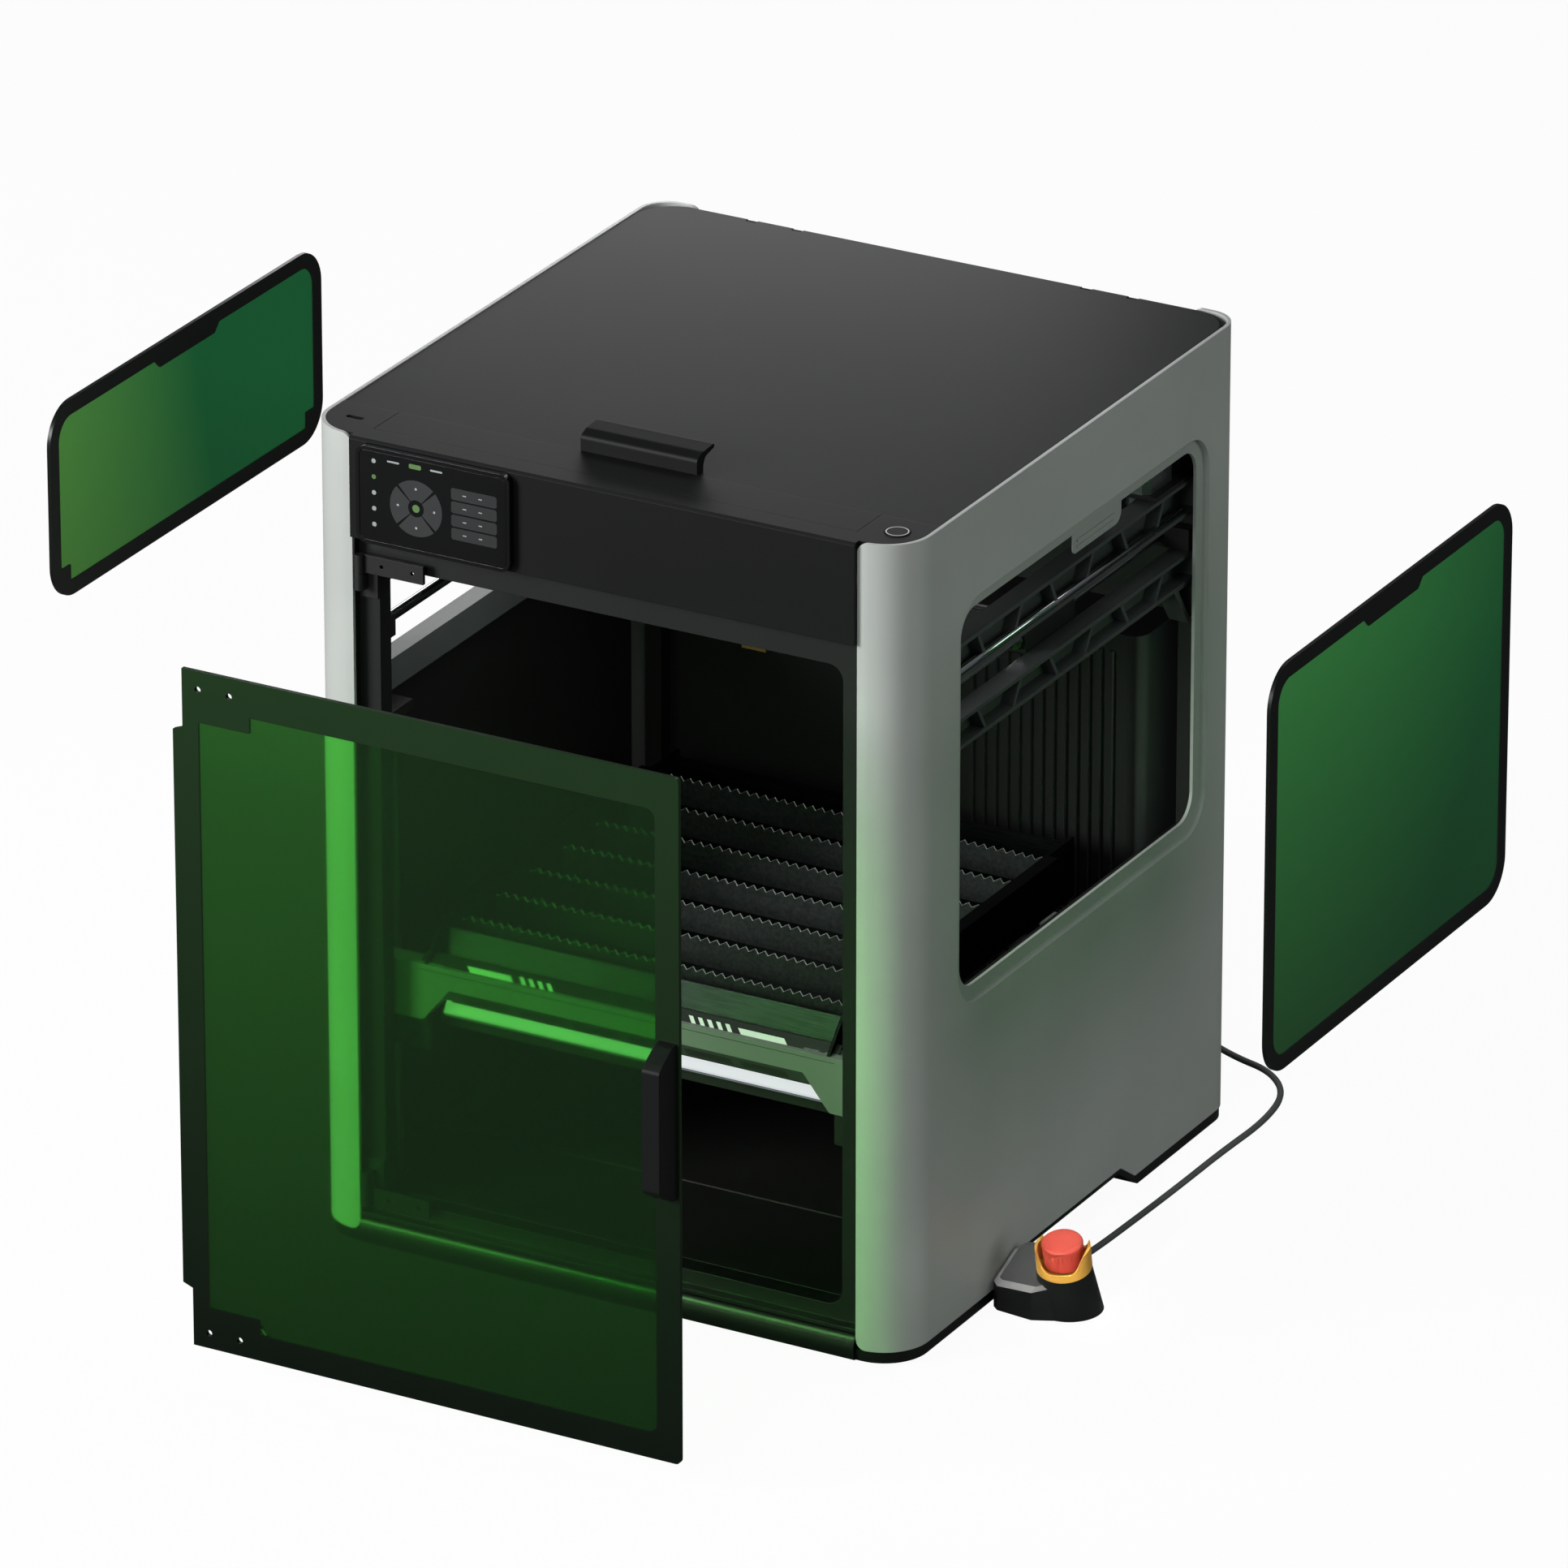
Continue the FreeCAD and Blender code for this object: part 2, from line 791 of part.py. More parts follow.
def lid_hinge_ears():
    """Fixed hinge pieces on the rear panel: two ears with a leg each, joined by the hinge pin."""
    ears = lid_ears()
    pieces = []
    for first, second in ((ears[0], ears[1]), (ears[2], ears[3])):
        bits = []
        for ear in (first, second):
            a = ear - lid_ear_w / 2
            b = ear + lid_ear_w / 2
            bits.append(rod(lid_ear_r, V(a, lid_axis_y, lid_axis_z), V(b, lid_axis_y, lid_axis_z)))
            bits.append(block(a, b, rear_in - 2.5, rear_in, lid_axis_z - lid_ear_drop, lid_axis_z))
        bits.append(rod(lid_pin_r, V(first, lid_axis_y, lid_axis_z), V(second, lid_axis_y, lid_axis_z)))
        pieces.append(fused(bits))
    return Part.makeCompound(pieces)


def lid_handle():
    """Lip along the lid's front edge: an upright wall with a top that curls back."""
    y = lid_front
    z = lid_top
    top = z + grip_h
    profile = [(y, z, 0), (y, top - 4, 4), (y + 8, top - 1, 10), (y + grip_reach, top, 1.2),
               (y + grip_reach, top - 3, 1.2), (y + grip_wall + 3, top - 5.5, 5), (y + grip_wall, z + 5, 4),
               (y + grip_wall, z, 0)]
    return slab(profile, "yz", -grip_half, grip_half)


def top_frame():
    """Ring under the lid, between the side panels."""
    x = inner_x - fit_gap
    r = rear_corner_r - skin - fit_gap
    front = lid_front + fit_gap
    back = rear_in - 5.0
    ring = slab([(-x, front, 0), (x, front, 0), (x, back, r), (-x, back, r)], "xy", top_frame_low,
                top_frame_top)
    xi = x - top_frame_in
    return ring.cut(slab(rect(-xi, xi, front + top_frame_front, back - top_frame_rear, 10.0), "xy",
                         top_frame_low - 1, top_frame_top + 1))


def rear_panel():
    """Back sheet with the fan's outlet slots, the bay's intake slots and the socket holes."""
    low = floor_top - floor_t + fit_gap
    panel = slab(rect(-rear_half, rear_half, low, rear_top), "xz", rear_in, rear_out)
    waste = []
    for i in range(vent_slots):
        z = fan_z + (i - (vent_slots - 1) / 2) * vent_pitch
        reach = math.sqrt(max((fan_bore_r - 2) ** 2 - (z - fan_z) ** 2, 100.0))
        waste.append(slab(rect(fan_x - reach, fan_x + reach, z - vent_w / 2, z + vent_w / 2,
                               vent_w / 2 - 0.1), "xz",
                          rear_in - 1, rear_out + 1))
    for i in range(intake_slots):
        x = intake_x + (i - (intake_slots - 1) / 2) * vent_pitch
        waste.append(slab(rect(x - vent_w / 2, x + vent_w / 2, intake_z, intake_z + intake_h,
                               vent_w / 2 - 0.1), "xz",
                          rear_in - 1, rear_out + 1))
    waste.append(slab(rect(inlet_x - inlet_w / 2 - fit_gap, inlet_x + inlet_w / 2 + fit_gap,
                           inlet_z - inlet_h / 2 - fit_gap, inlet_z + inlet_h / 2 + fit_gap), "xz",
                      rear_in - 1, rear_out + 1))
    waste.append(rod(socket_r - 1 + fit_gap, V(socket_x, rear_in - 1, socket_z),
                     V(socket_x, rear_out + 1, socket_z)))
    return panel.cut(waste)


def fan_frame():
    """Square fan frame with a round bore and three struts to the motor plate."""
    y0 = rear_in - fan_t
    frame = slab(rect(fan_x - fan_size / 2, fan_x + fan_size / 2, fan_z - fan_size / 2,
                      fan_z + fan_size / 2, 5.0),
                 "xz", y0, rear_in)
    centre = V(fan_x, y0, fan_z)
    along = V(0, 1, 0)
    frame = frame.cut(Part.makeCylinder(fan_bore_r, fan_t + 2, centre - along, along))
    bits = [frame, Part.makeCylinder(fan_hub_r, 3.0, centre, along)]
    for i in range(3):
        strut = block(fan_x, fan_x + fan_bore_r + 1, y0, y0 + 3.0, fan_z - 2.5, fan_z + 2.5)
        strut.rotate(centre, along, 90 + i * 120)
        bits.append(strut)
    bits.append(Part.makeCylinder(fan_shaft_r, fan_t - 6, centre, along))
    return fused(bits)


def fan_rotor():
    """Hub with seven pitched blades, running on the frame's shaft."""
    y0 = rear_in - fan_t + 3.0 + fit_gap + 0.5
    y1 = rear_in - 2.0
    along = V(0, 1, 0)
    centre = V(fan_x, y0, fan_z)
    bits = [Part.makeCylinder(fan_hub_r, y1 - y0, centre, along)]
    for i in range(7):
        blade = block(0, fan_bore_r - 1.5, -11, 11, -0.7, 0.7)
        blade.rotate(V(0, 0, 0), V(1, 0, 0), 38)
        blade.translate(V(fan_x, (y0 + y1) / 2, fan_z))
        blade.rotate(V(fan_x, 0, fan_z), along, i * 360 / 7)
        bits.append(blade)
    body = fused(bits).common(Part.makeCylinder(fan_bore_r - 1.0, y1 - y0, centre, along))
    return body.cut(Part.makeCylinder(fan_shaft_r + pin_gap, fan_t, centre - along, along))


def mains_inlet():
    """Mains inlet with a three-blade socket below and the opening for a rocker switch above."""
    x0 = inlet_x - inlet_w / 2
    z0 = inlet_z - inlet_h / 2
    face = rear_out + inlet_flange
    body = block(x0, x0 + inlet_w, rear_out - inlet_deep, rear_out + 1, z0, z0 + inlet_h)
    flange = slab(rect(x0 - inlet_flange, x0 + inlet_w + inlet_flange, z0 - inlet_flange,
                       z0 + inlet_h + inlet_flange, 4.0), "xz", rear_out, face)
    body = fused([body, flange])
    z_plug = z0 + inlet_h * 0.3
    pocket = slab([(inlet_x - plug_w / 2, z_plug - plug_h / 2, 1.5),
                   (inlet_x + plug_w / 2, z_plug - plug_h / 2, 1.5),
                   (inlet_x + plug_w / 2, z_plug + plug_h / 4, 0),
                   (inlet_x + plug_w / 3, z_plug + plug_h / 2, 0),
                   (inlet_x - plug_w / 3, z_plug + plug_h / 2, 0),
                   (inlet_x - plug_w / 2, z_plug + plug_h / 4, 0)],
                  "xz", face - plug_deep, face + 1)
    z_rock = rocker_z()
    window = block(inlet_x - rocker_w / 2 - fit_gap, inlet_x + rocker_w / 2 + fit_gap, rear_out - 11,
                   face + 1,
                   z_rock - rocker_h / 2 - 1.0, z_rock + rocker_h / 2 + 1.0)
    span = rocker_w / 2 + 3
    bore = rod(rocker_pin_r + pin_gap, V(inlet_x - span, rear_out, z_rock),
               V(inlet_x + span, rear_out, z_rock))
    body = body.cut([pocket, window, bore])
    blades = [block(inlet_x + dx - 2, inlet_x + dx + 2, face - plug_deep - 1, face - 3, z_plug + dz - 1,
                    z_plug + dz + 1)
              for dx, dz in ((-7, -2), (7, -2), (0, 3))]
    return fused([body] + blades)


def rocker_z():
    return inlet_z + inlet_h * 0.22


def rocker_switch():
    """Rocker tipped to its off side, on its own pivot pin."""
    z = rocker_z()
    y = rear_out
    half = rocker_h / 2
    body = slab([(y - 7, z - half + 3, 1), (y + 2, z - half, 1), (y + 4.2, z - half, 1), (y + 2.6, z, 12),
                 (y + 4.2, z + half, 1), (y + 2, z + half, 1), (y - 7, z + half - 3, 1)], "yz",
                inlet_x - rocker_w / 2, inlet_x + rocker_w / 2)
    span = rocker_w / 2 + 2.5
    rocker = fused([body, rod(rocker_pin_r, V(inlet_x - span, y, z), V(inlet_x + span, y, z))])
    rocker.rotate(V(inlet_x, y, z), V(1, 0, 0), rocker_tilt)
    return rocker


def chamber_liners():
    """Floor sheet, with holes for the lead screws and a seam across it, and the two side liners."""
    low = floor_top - floor_t
    half = half_w - floor_in
    floor = slab([(-half, floor_y0, floor_r), (half, floor_y0, floor_r), (half, bay_front - fit_gap, 0),
                  (-half, bay_front - fit_gap, 0)], "xy", low, floor_top)
    waste = [upright(screw_r + 1.5, x, y, low - 1, floor_top + 1) for x, y in screw_spots]
    waste.append(block(-half - 1, half + 1, seam_y - seam_w / 2, seam_y + seam_w / 2, floor_top - seam_deep,
                       floor_top + 1))
    floor = floor.cut(waste)
    right_top = window_top - right_window_h - liner_clear + flange_w
    left_top = left_beam_low - fit_gap
    y0 = column_f1 + fit_gap
    y1 = bay_front - fit_gap
    right = block(liner_x, liner_x + liner_t, y0, y1, floor_top, right_top)
    left = block(-liner_x - liner_t, -liner_x, y0, y1, floor_top, left_top)
    return Part.makeCompound([floor, right, left])


def front_column():
    """Right front column, with the rod's end boss, the screw's top block and the idler shelf."""
    post_top = top_frame_low - 12.0
    post = block(column_x0, column_x1, column_f0, column_f1, floor_top, post_top)
    leg_y = lid_front + fit_gap
    leg = block(column_x0, column_x1, leg_y, leg_y + top_frame_front - 1, post_top - 14, top_frame_low)
    arm = block(column_x0, column_x1, column_f1 - 1, leg_y + 1, post_top - 14, post_top)
    y1 = column_f1 + 12.0
    boss = block(y_rod_x - 10, column_x1, column_f0, y1, y_rod_z - rod_boss, y_rod_z + rod_boss)
    boss = boss.cut(rod(rod_r, V(y_rod_x, column_f1, y_rod_z), V(y_rod_x, y1 + 1, y_rod_z)))
    head = block(screw_x - 10, z_rod_x + 8, column_f0, screw_y + 10, screw_head, screw_head + 8)
    head = head.cut(upright(screw_r + pin_gap, screw_x, screw_y, screw_head - 1, screw_head + 5))
    shelf = block(motor_x - 10, column_x1, column_f0, idler_y + 14, beam_top, beam_top + shelf_plate)
    post = fused([post, leg, arm, boss, head, shelf])
    pin = upright(shaft_r, motor_x, idler_y, beam_top - pulley_h - 3, beam_top + 1)
    idler = upright(pulley_r, motor_x, idler_y, beam_top - pulley_h - 1.5, beam_top - 1.5)
    return fused([post, pin, idler])


def rear_column():
    """Right rear column, with the rod's end boss and the motor shelf."""
    post = block(column_x0, column_x1, column_r0, column_r1, floor_top, top_frame_low)
    y0 = column_r0 - 12.0
    boss = block(y_rod_x - 10, column_x1, y0, column_r1, y_rod_z - rod_boss, y_rod_z + rod_boss)
    boss = boss.cut(rod(rod_r, V(y_rod_x, y0 - 1, y_rod_z), V(y_rod_x, column_r0, y_rod_z)))
    half = motor_size / 2
    shelf = block(motor_x - half, column_x1, motor_y - half, column_r1, beam_top, beam_top + shelf_plate)
    shelf = shelf.cut(upright(pulley_r + 1, motor_x, motor_y, beam_top - 1, motor_low + 1))
    return fused([post, boss, shelf])


def corner_columns():
    front = front_column()
    rear = rear_column()
    return Part.makeCompound([front, flipped(front), rear, flipped(rear)])


def side_beam(low, high, gussets):
    """Ribbed side beam, open to the outside: a web with edge ribs and ribs that lean both ways."""
    y0 = column_f1
    y1 = column_r0
    x1 = beam_x + beam_deep
    web_x = beam_x + beam_skin
    corners = [(y0, low, 0), (y1, low, 0), (y1, high, 0), (y0, high, 0)]
    if gussets:
        drop = low - gusset_h
        corners = [(y0, drop, 0), (y0 + 10, drop, 4), (y0 + gusset_w, low, 0), (y1 - gusset_w, low, 0),
                   (y1 - 10, drop, 4), (y1, drop, 0), (y1, high, 0), (y0, high, 0)]
    solid = slab(corners, "yz", beam_x, x1)
    hollow = slab([(y0 + beam_rib, low + beam_rib, 0), (y1 - beam_rib, low + beam_rib, 0),
                   (y1 - beam_rib, high - beam_rib, 0), (y0 + beam_rib, high - beam_rib, 0)], "yz", web_x,
                  x1 + 1)
    beam = solid.cut(hollow)
    if gussets:
        for a, b in ((y0, y0 + gusset_w), (y1, y1 - gusset_w)):
            s = 1 if b > a else -1
            pocket = slab([(a + s * beam_rib, low - 1, 0), (a + s * beam_rib, low - gusset_h + 5, 1),
                           (a + s * 9, low - gusset_h + 5, 1), (b - s * 7, low - 1, 0)], "yz", web_x, x1 + 1)
            beam = beam.cut(pocket)
    bay = (y1 - y0) / beam_bays
    ribs = []
    for i in range(1, beam_bays):
        y = y0 + i * bay
        lean = 7.0 if i % 2 else -7.0
        half = beam_rib / 2 + 0.4
        ribs.append(slab([(y - lean - half, low + 1, 0), (y - lean + half, low + 1, 0),
                          (y + lean + half, high - 1, 0),
                          (y + lean - half, high - 1, 0)], "yz", beam_x + 1, x1 - 1.5))
    return fused([beam] + ribs)


def side_beams():
    """Upper and lower beam of each side, between the front and rear columns."""
    upper = side_beam(upper_beam_low, beam_top, False)
    right = side_beam(right_beam_low, right_beam_low + lower_beam_h, True)
    left = flipped(side_beam(left_beam_low, left_beam_low + lower_beam_h, False))
    return Part.makeCompound([upper, flipped(upper), right, left])


def guide_rods():
    """Ground rods: two along the sides for the gantry, two upright for the bed."""
    across = rod(rod_r, V(y_rod_x, column_f1, y_rod_z), V(y_rod_x, column_r0, y_rod_z))
    stand = upright(rod_r, z_rod_x, screw_y, floor_top, screw_head)
    return Part.makeCompound([across, flipped(across), stand, flipped(stand)])


def rear_bay_cover():
    """Ribbed cover of the electronics bay, open to the rear panel, with the rear screw's top block."""
    low = floor_top - floor_t
    back = rear_in - fit_gap
    body = slab([(-bay_half, bay_front, bay_r), (bay_half, bay_front, bay_r), (bay_half, back, 0),
                 (-bay_half, back, 0)],
                "xy", low, bay_top)
    hollow = slab([(-bay_half + bay_wall, bay_front + bay_wall, bay_r - bay_wall),
                   (bay_half - bay_wall, bay_front + bay_wall, bay_r - bay_wall),
                   (bay_half - bay_wall, back + 1, 0), (-bay_half + bay_wall, back + 1, 0)],
                  "xy", low - 1, bay_top - bay_wall)
    cover = body.cut(hollow)
    ribs = [block(rib_first + i * rib_pitch, rib_first + i * rib_pitch + rib_w, bay_front - rib_out,
                  bay_front + 1,
                  floor_top + 8, bay_top - 14) for i in range(rib_count)]
    head = block(-tongue_half, tongue_half, rear_screw_y - 10, bay_front + 20, bay_top, bay_top + 12)
    head = head.cut(upright(screw_r + pin_gap, 0, rear_screw_y, bay_top - 1, bay_top + 9))
    return fused([cover] + ribs + [head])


def power_supply():
    """Metal power-supply case with a step for its terminals."""
    x0 = -bay_half + supply_in
    x1 = x0 + supply_w
    case = block(x0, x1, rear_in - supply_t, rear_in, supply_low, supply_low + supply_h)
    step = block(x0 - 1, x1 + 1, rear_in - supply_t - 1, rear_in - supply_step, supply_low - 1,
                 supply_low + terminal_h)
    return case.cut(step)


def main_board():
    """Control board on four standoffs, with its driver row and connector strips."""
    y = rear_in - board_off
    x0 = bay_half - board_in - board_w
    x1 = x0 + board_w
    z0 = board_low
    z1 = z0 + board_w
    face = y - board_t
    posts = [(x, z) for x in (x0 + board_edge, x1 - board_edge) for z in (z0 + board_edge, z1 - board_edge)]
    bits = [block(x0, x1, face, y, z0, z1)]
    bits += [Part.makeCylinder(board_post_r, board_off, V(x, y, z), V(0, 1, 0)) for x, z in posts]
    pitch = (board_w - 2 * board_margin) / driver_count
    for i in range(driver_count):
        x = x0 + board_margin + i * pitch
        bits.append(block(x, x + driver_w, face - driver_w / 2, face, z1 - board_strip - driver_w * 2,
                          z1 - board_strip - driver_w))
    for z in (z0 + board_edge, z1 - board_strip):
        bits.append(block(x0 + board_margin, x1 - board_margin, face - connector_h, face, z, z + connector_w))
    return fused(bits)


def stepper(x, y, low, h, shaft_low):
    """Stepper motor with chamfered corners and its shaft."""
    half = motor_size / 2
    c = 5.0
    case = slab([(x - half + c, y - half, 0), (x + half - c, y - half, 0), (x + half, y - half + c, 0),
                 (x + half, y + half - c, 0), (x + half - c, y + half, 0), (x - half + c, y + half, 0),
                 (x - half, y + half - c, 0), (x - half, y - half + c, 0)], "xy", low, low + h)
    return fused([case, upright(shaft_r, x, y, shaft_low, low + 1)])


def stepper_motors():
    """Two belt motors on the rear shelves and the flat bed motor under the floor."""
    shaft_low = beam_top - pulley_h - 1.0
    pair = stepper(motor_x, motor_y, motor_low, motor_h, shaft_low)
    low = foot_h + plinth_wall
    bed_motor = stepper(z_motor_x, z_motor_y, low, z_motor_h, low + 1)
    boss = upright(screw_pulley_r, z_motor_x, z_motor_y, low + z_motor_h, screw_pulley_low + screw_pulley_h)
    return Part.makeCompound([pair, flipped(pair), fused([bed_motor, boss])])


def motor_pulley():
    """Toothed pulley under the right belt motor."""
    top = beam_top - 0.8
    wheel = upright(pulley_r, motor_x, motor_y, top - pulley_h, top)
    rims = [upright(pulley_r + 0.8, motor_x, motor_y, z, z + 1.0) for z in (top - pulley_h, top - 1.0)]
    wheel = fused([wheel] + rims)
    return wheel.cut(upright(shaft_r + run_gap, motor_x, motor_y, top - pulley_h - 1, top + 1))


def drive_belts():
    """Outer run of each side belt, from the motor pulley round the front idler, and the bed's screw belt."""
    r0 = pulley_r + fit_gap
    r1 = r0 + belt_t
    z1 = beam_top - 4.0
    z0 = z1 - belt_w
    wrap_ring = upright(r1, motor_x, idler_y, z0, z1).cut(upright(r0, motor_x, idler_y, z0 - 1, z1 + 1))
    wrap_ring = wrap_ring.common(block(motor_x - r1, motor_x + r1, idler_y - r1, idler_y, z0, z1))
    rear_ring = upright(r1, motor_x, motor_y, z0, z1).cut(upright(r0, motor_x, motor_y, z0 - 1, z1 + 1))
    rear_ring = rear_ring.common(block(motor_x - r1, motor_x + r1, motor_y, motor_y + r1, z0, z1))
    run = block(motor_x + r0, motor_x + r1, idler_y, motor_y, z0, z1)
    side = fused([run, wrap_ring, rear_ring])
    return Part.makeCompound([side, flipped(side), screw_belt()])


def screw_belt():
    """Closed belt round the bed motor's pulley and the three lead-screw pulleys under the floor."""
    z0 = screw_pulley_low + 2.0
    spots = screw_spots[:2] + [(z_motor_x, z_motor_y)] + screw_spots[2:]
    loop = Part.makePolygon([V(x, y, z0) for x, y in spots + spots[:1]])
    outer = Part.Face(loop.makeOffset2D(screw_pulley_r + fit_gap + belt_t))
    inner = Part.Face(loop.makeOffset2D(screw_pulley_r + fit_gap))
    return outer.cut(inner).extrude(V(0, 0, belt_w))


def lead_screw(x, y):
    """Lead screw with the belt pulley on its foot, up to its top block."""
    top = screw_head + 4.0 if y < 0 else bay_top + 8.0
    return fused([upright(screw_r, x, y, screw_foot, top),
                  upright(screw_pulley_r, x, y, screw_pulley_low, screw_pulley_low + screw_pulley_h)])


def door_outline():
    """Door's outline: square right edge, left edge stepped in beside both hinges."""
    left = -door_half
    step = left + hinge_step
    return [(step, door_low, 0), (door_half, door_low, 4), (door_half, door_high, 4), (step, door_high, 0),
            (step, door_high - hinge_zone, 0), (left, door_high - hinge_zone - 3, 0),
            (left, door_low + hinge_zone + 3, 0), (step, door_low + hinge_zone, 0)]


def rim_outline(inset):
    """Raised rim inside the door's border, jogged in beside the hinges."""
    x0 = -door_half + rim_in + inset
    x1 = door_half - rim_in - inset
    z0 = door_low + rim_in + inset
    z1 = door_high - rim_in - inset
    jog = -door_half + rim_jog_x
    r = 7.0 - inset
    return [(x0, z0 + rim_jog, r), (jog, z0 + rim_jog, 5), (jog + rim_jog, z0, 5), (x1, z0, r), (x1, z1, r),
            (jog + rim_jog, z1, 5), (jog, z1 - rim_jog, 5), (x0, z1 - rim_jog, r)]


def door_screws():
    return [(-door_half + screw_in_x + i * screw_pitch, z) for i in range(2)
            for z in (door_low + screw_in_z - 2.0, door_high - screw_in_z)]


def door_panel():
    """Tinted door, pulled straight off its hinges, with a raised rim on its inner face."""
    y0 = door_face - door_pull
    y1 = y0 + door_t
    plate = slab(door_outline(), "xz", y0, y1)
    rim = slab(rim_outline(0.0), "xz", y1, y1 + rim_h)
    rim = rim.cut(slab(rim_outline(rim_w), "xz", y1 - 1, y1 + rim_h + 1))
    plate = fused([plate, rim])
    return plate.cut([rod(screw_hole_r, V(x, y0 - 1, z), V(x, y1 + 1, z)) for x, z in door_screws()])


def door_handle():
    """Pull handle at the door's right edge: a bowed grip with a finger hollow behind its front."""
    y0 = door_face - door_pull
    z0 = handle_mid - handle_len / 2
    z1 = handle_mid + handle_len / 2
    out = y0 - handle_out
    x1 = door_half - 2.0
    x0 = x1 - handle_w
    grip = slab([(y0, z0, 0), (y0 - 7, z0 + 1, 5), (out + 5, z0 + 9, 7), (out, z0 + 13, 4), (out, z1 - 13, 4),
                 (out + 5, z1 - 9, 7), (y0 - 7, z1 - 1, 5), (y0, z1, 0)], "yz", x0, x1)
    hollow = slab(rect(out + handle_wall, y0 + 1, z0 + 16, z1 - 16, 5.0), "yz", x0 - 1, x1 - handle_wall)
    return grip.cut(hollow)


def hinge_levels():
    """Middle height of the leaf at the top and bottom hinge, with the way its block reaches."""
    return ((door_high - screw_in_z, -1), (door_low + screw_in_z - 2.0, 1))


def hinge_leaves():
    """Moving hinge leaves: a plate behind the door's corner and the knuckle on its edge."""
    leaves = []
    for z, _ in hinge_levels():
        a = z - leaf_h / 2
        b = z + leaf_h / 2
        y0 = door_back + fit_gap
        plate = block(hinge_x, hinge_x + leaf_reach, y0, y0 + leaf_t, a, b)
        barrel = upright(hinge_r, hinge_x, hinge_y, a, b)
        leaf = fused([plate, barrel])
        leaf = leaf.cut(upright(hinge_pin_r + pin_gap, hinge_x, hinge_y, a - 1, b + 1))
        holes = [rod(screw_hole_r - 1, V(x, y0 - 1, z), V(x, y0 + leaf_t + 1, z))
                 for x in door_screw_columns()]
        leaves.append(leaf.cut(holes))
    return Part.makeCompound(leaves)


def door_screw_columns():
    return [-door_half + screw_in_x + i * screw_pitch for i in range(2)]


def hinge_blocks():
    """Fixed hinge blocks on the left stile, each with its knuckle and pin."""
    blocks = []
    for z, way in hinge_levels():
        near = z + way * (leaf_h / 2 + fit_gap)
        far = near + way * 13.0
        a = min(near, far)
        b = max(near, far)
        end = far + way * 8.0
        plate = block(hinge_x - hinge_r, hinge_x + 11, frame_face - 3.0, frame_face, min(near, end),
                      max(near, end))
        web = block(hinge_x - hinge_r, hinge_x + hinge_r, hinge_y, frame_face, a, b)
        barrel = upright(hinge_r, hinge_x, hinge_y, a, b)
        pin_end = z - way * leaf_h / 2
        pin = upright(hinge_pin_r, hinge_x, hinge_y, min(a, pin_end), max(b, pin_end))
        blocks.append(fused([plate, web, barrel, pin]))
    return Part.makeCompound(blocks)


def bed_front_beam():
    """Light front beam of the bed: lower ends, a raised middle and rounded outer corners."""
    x = bed_beam_half
    e = x - bed_end_w
    low = bed_beam_low
    mid = low + bed_beam_rise
    beam = slab([(-x, low, 3), (-e, low, 4), (-e + bed_slant, mid, 4), (e - bed_slant, mid, 4), (e, low, 4),
                 (x, low, 3), (x, bed_ledge, 3), (-x, bed_ledge, 3)], "xz", bed_front, bed_front + beam_t)
    trim = slab([(-x, bed_front, bed_end_r), (x, bed_front, bed_end_r), (x, bed_front + beam_t, 0),
                 (-x, bed_front + beam_t, 0)], "xy", low - 1, bed_ledge + 1)
    groove = block(-tray_half + 12, tray_half - 12, bed_front + 4.0, bed_front + 13.0, bed_ledge - 1.0,
                   bed_ledge + 1)
    return beam.common(trim).cut(groove)


def bed_light_bar():
    """Bright bar under the beam, rounded along its front."""
    y = bed_front + 9.0
    z = bar_low
    return slab([(y + 3, z, bar_r), (y + bar_deep, z, 0), (y + bar_deep, z + bar_h, 0),
                 (y + 4.5, z + bar_h, 2),
                 (y, z + 4.5, 2)], "yz", -bar_half, bar_half)


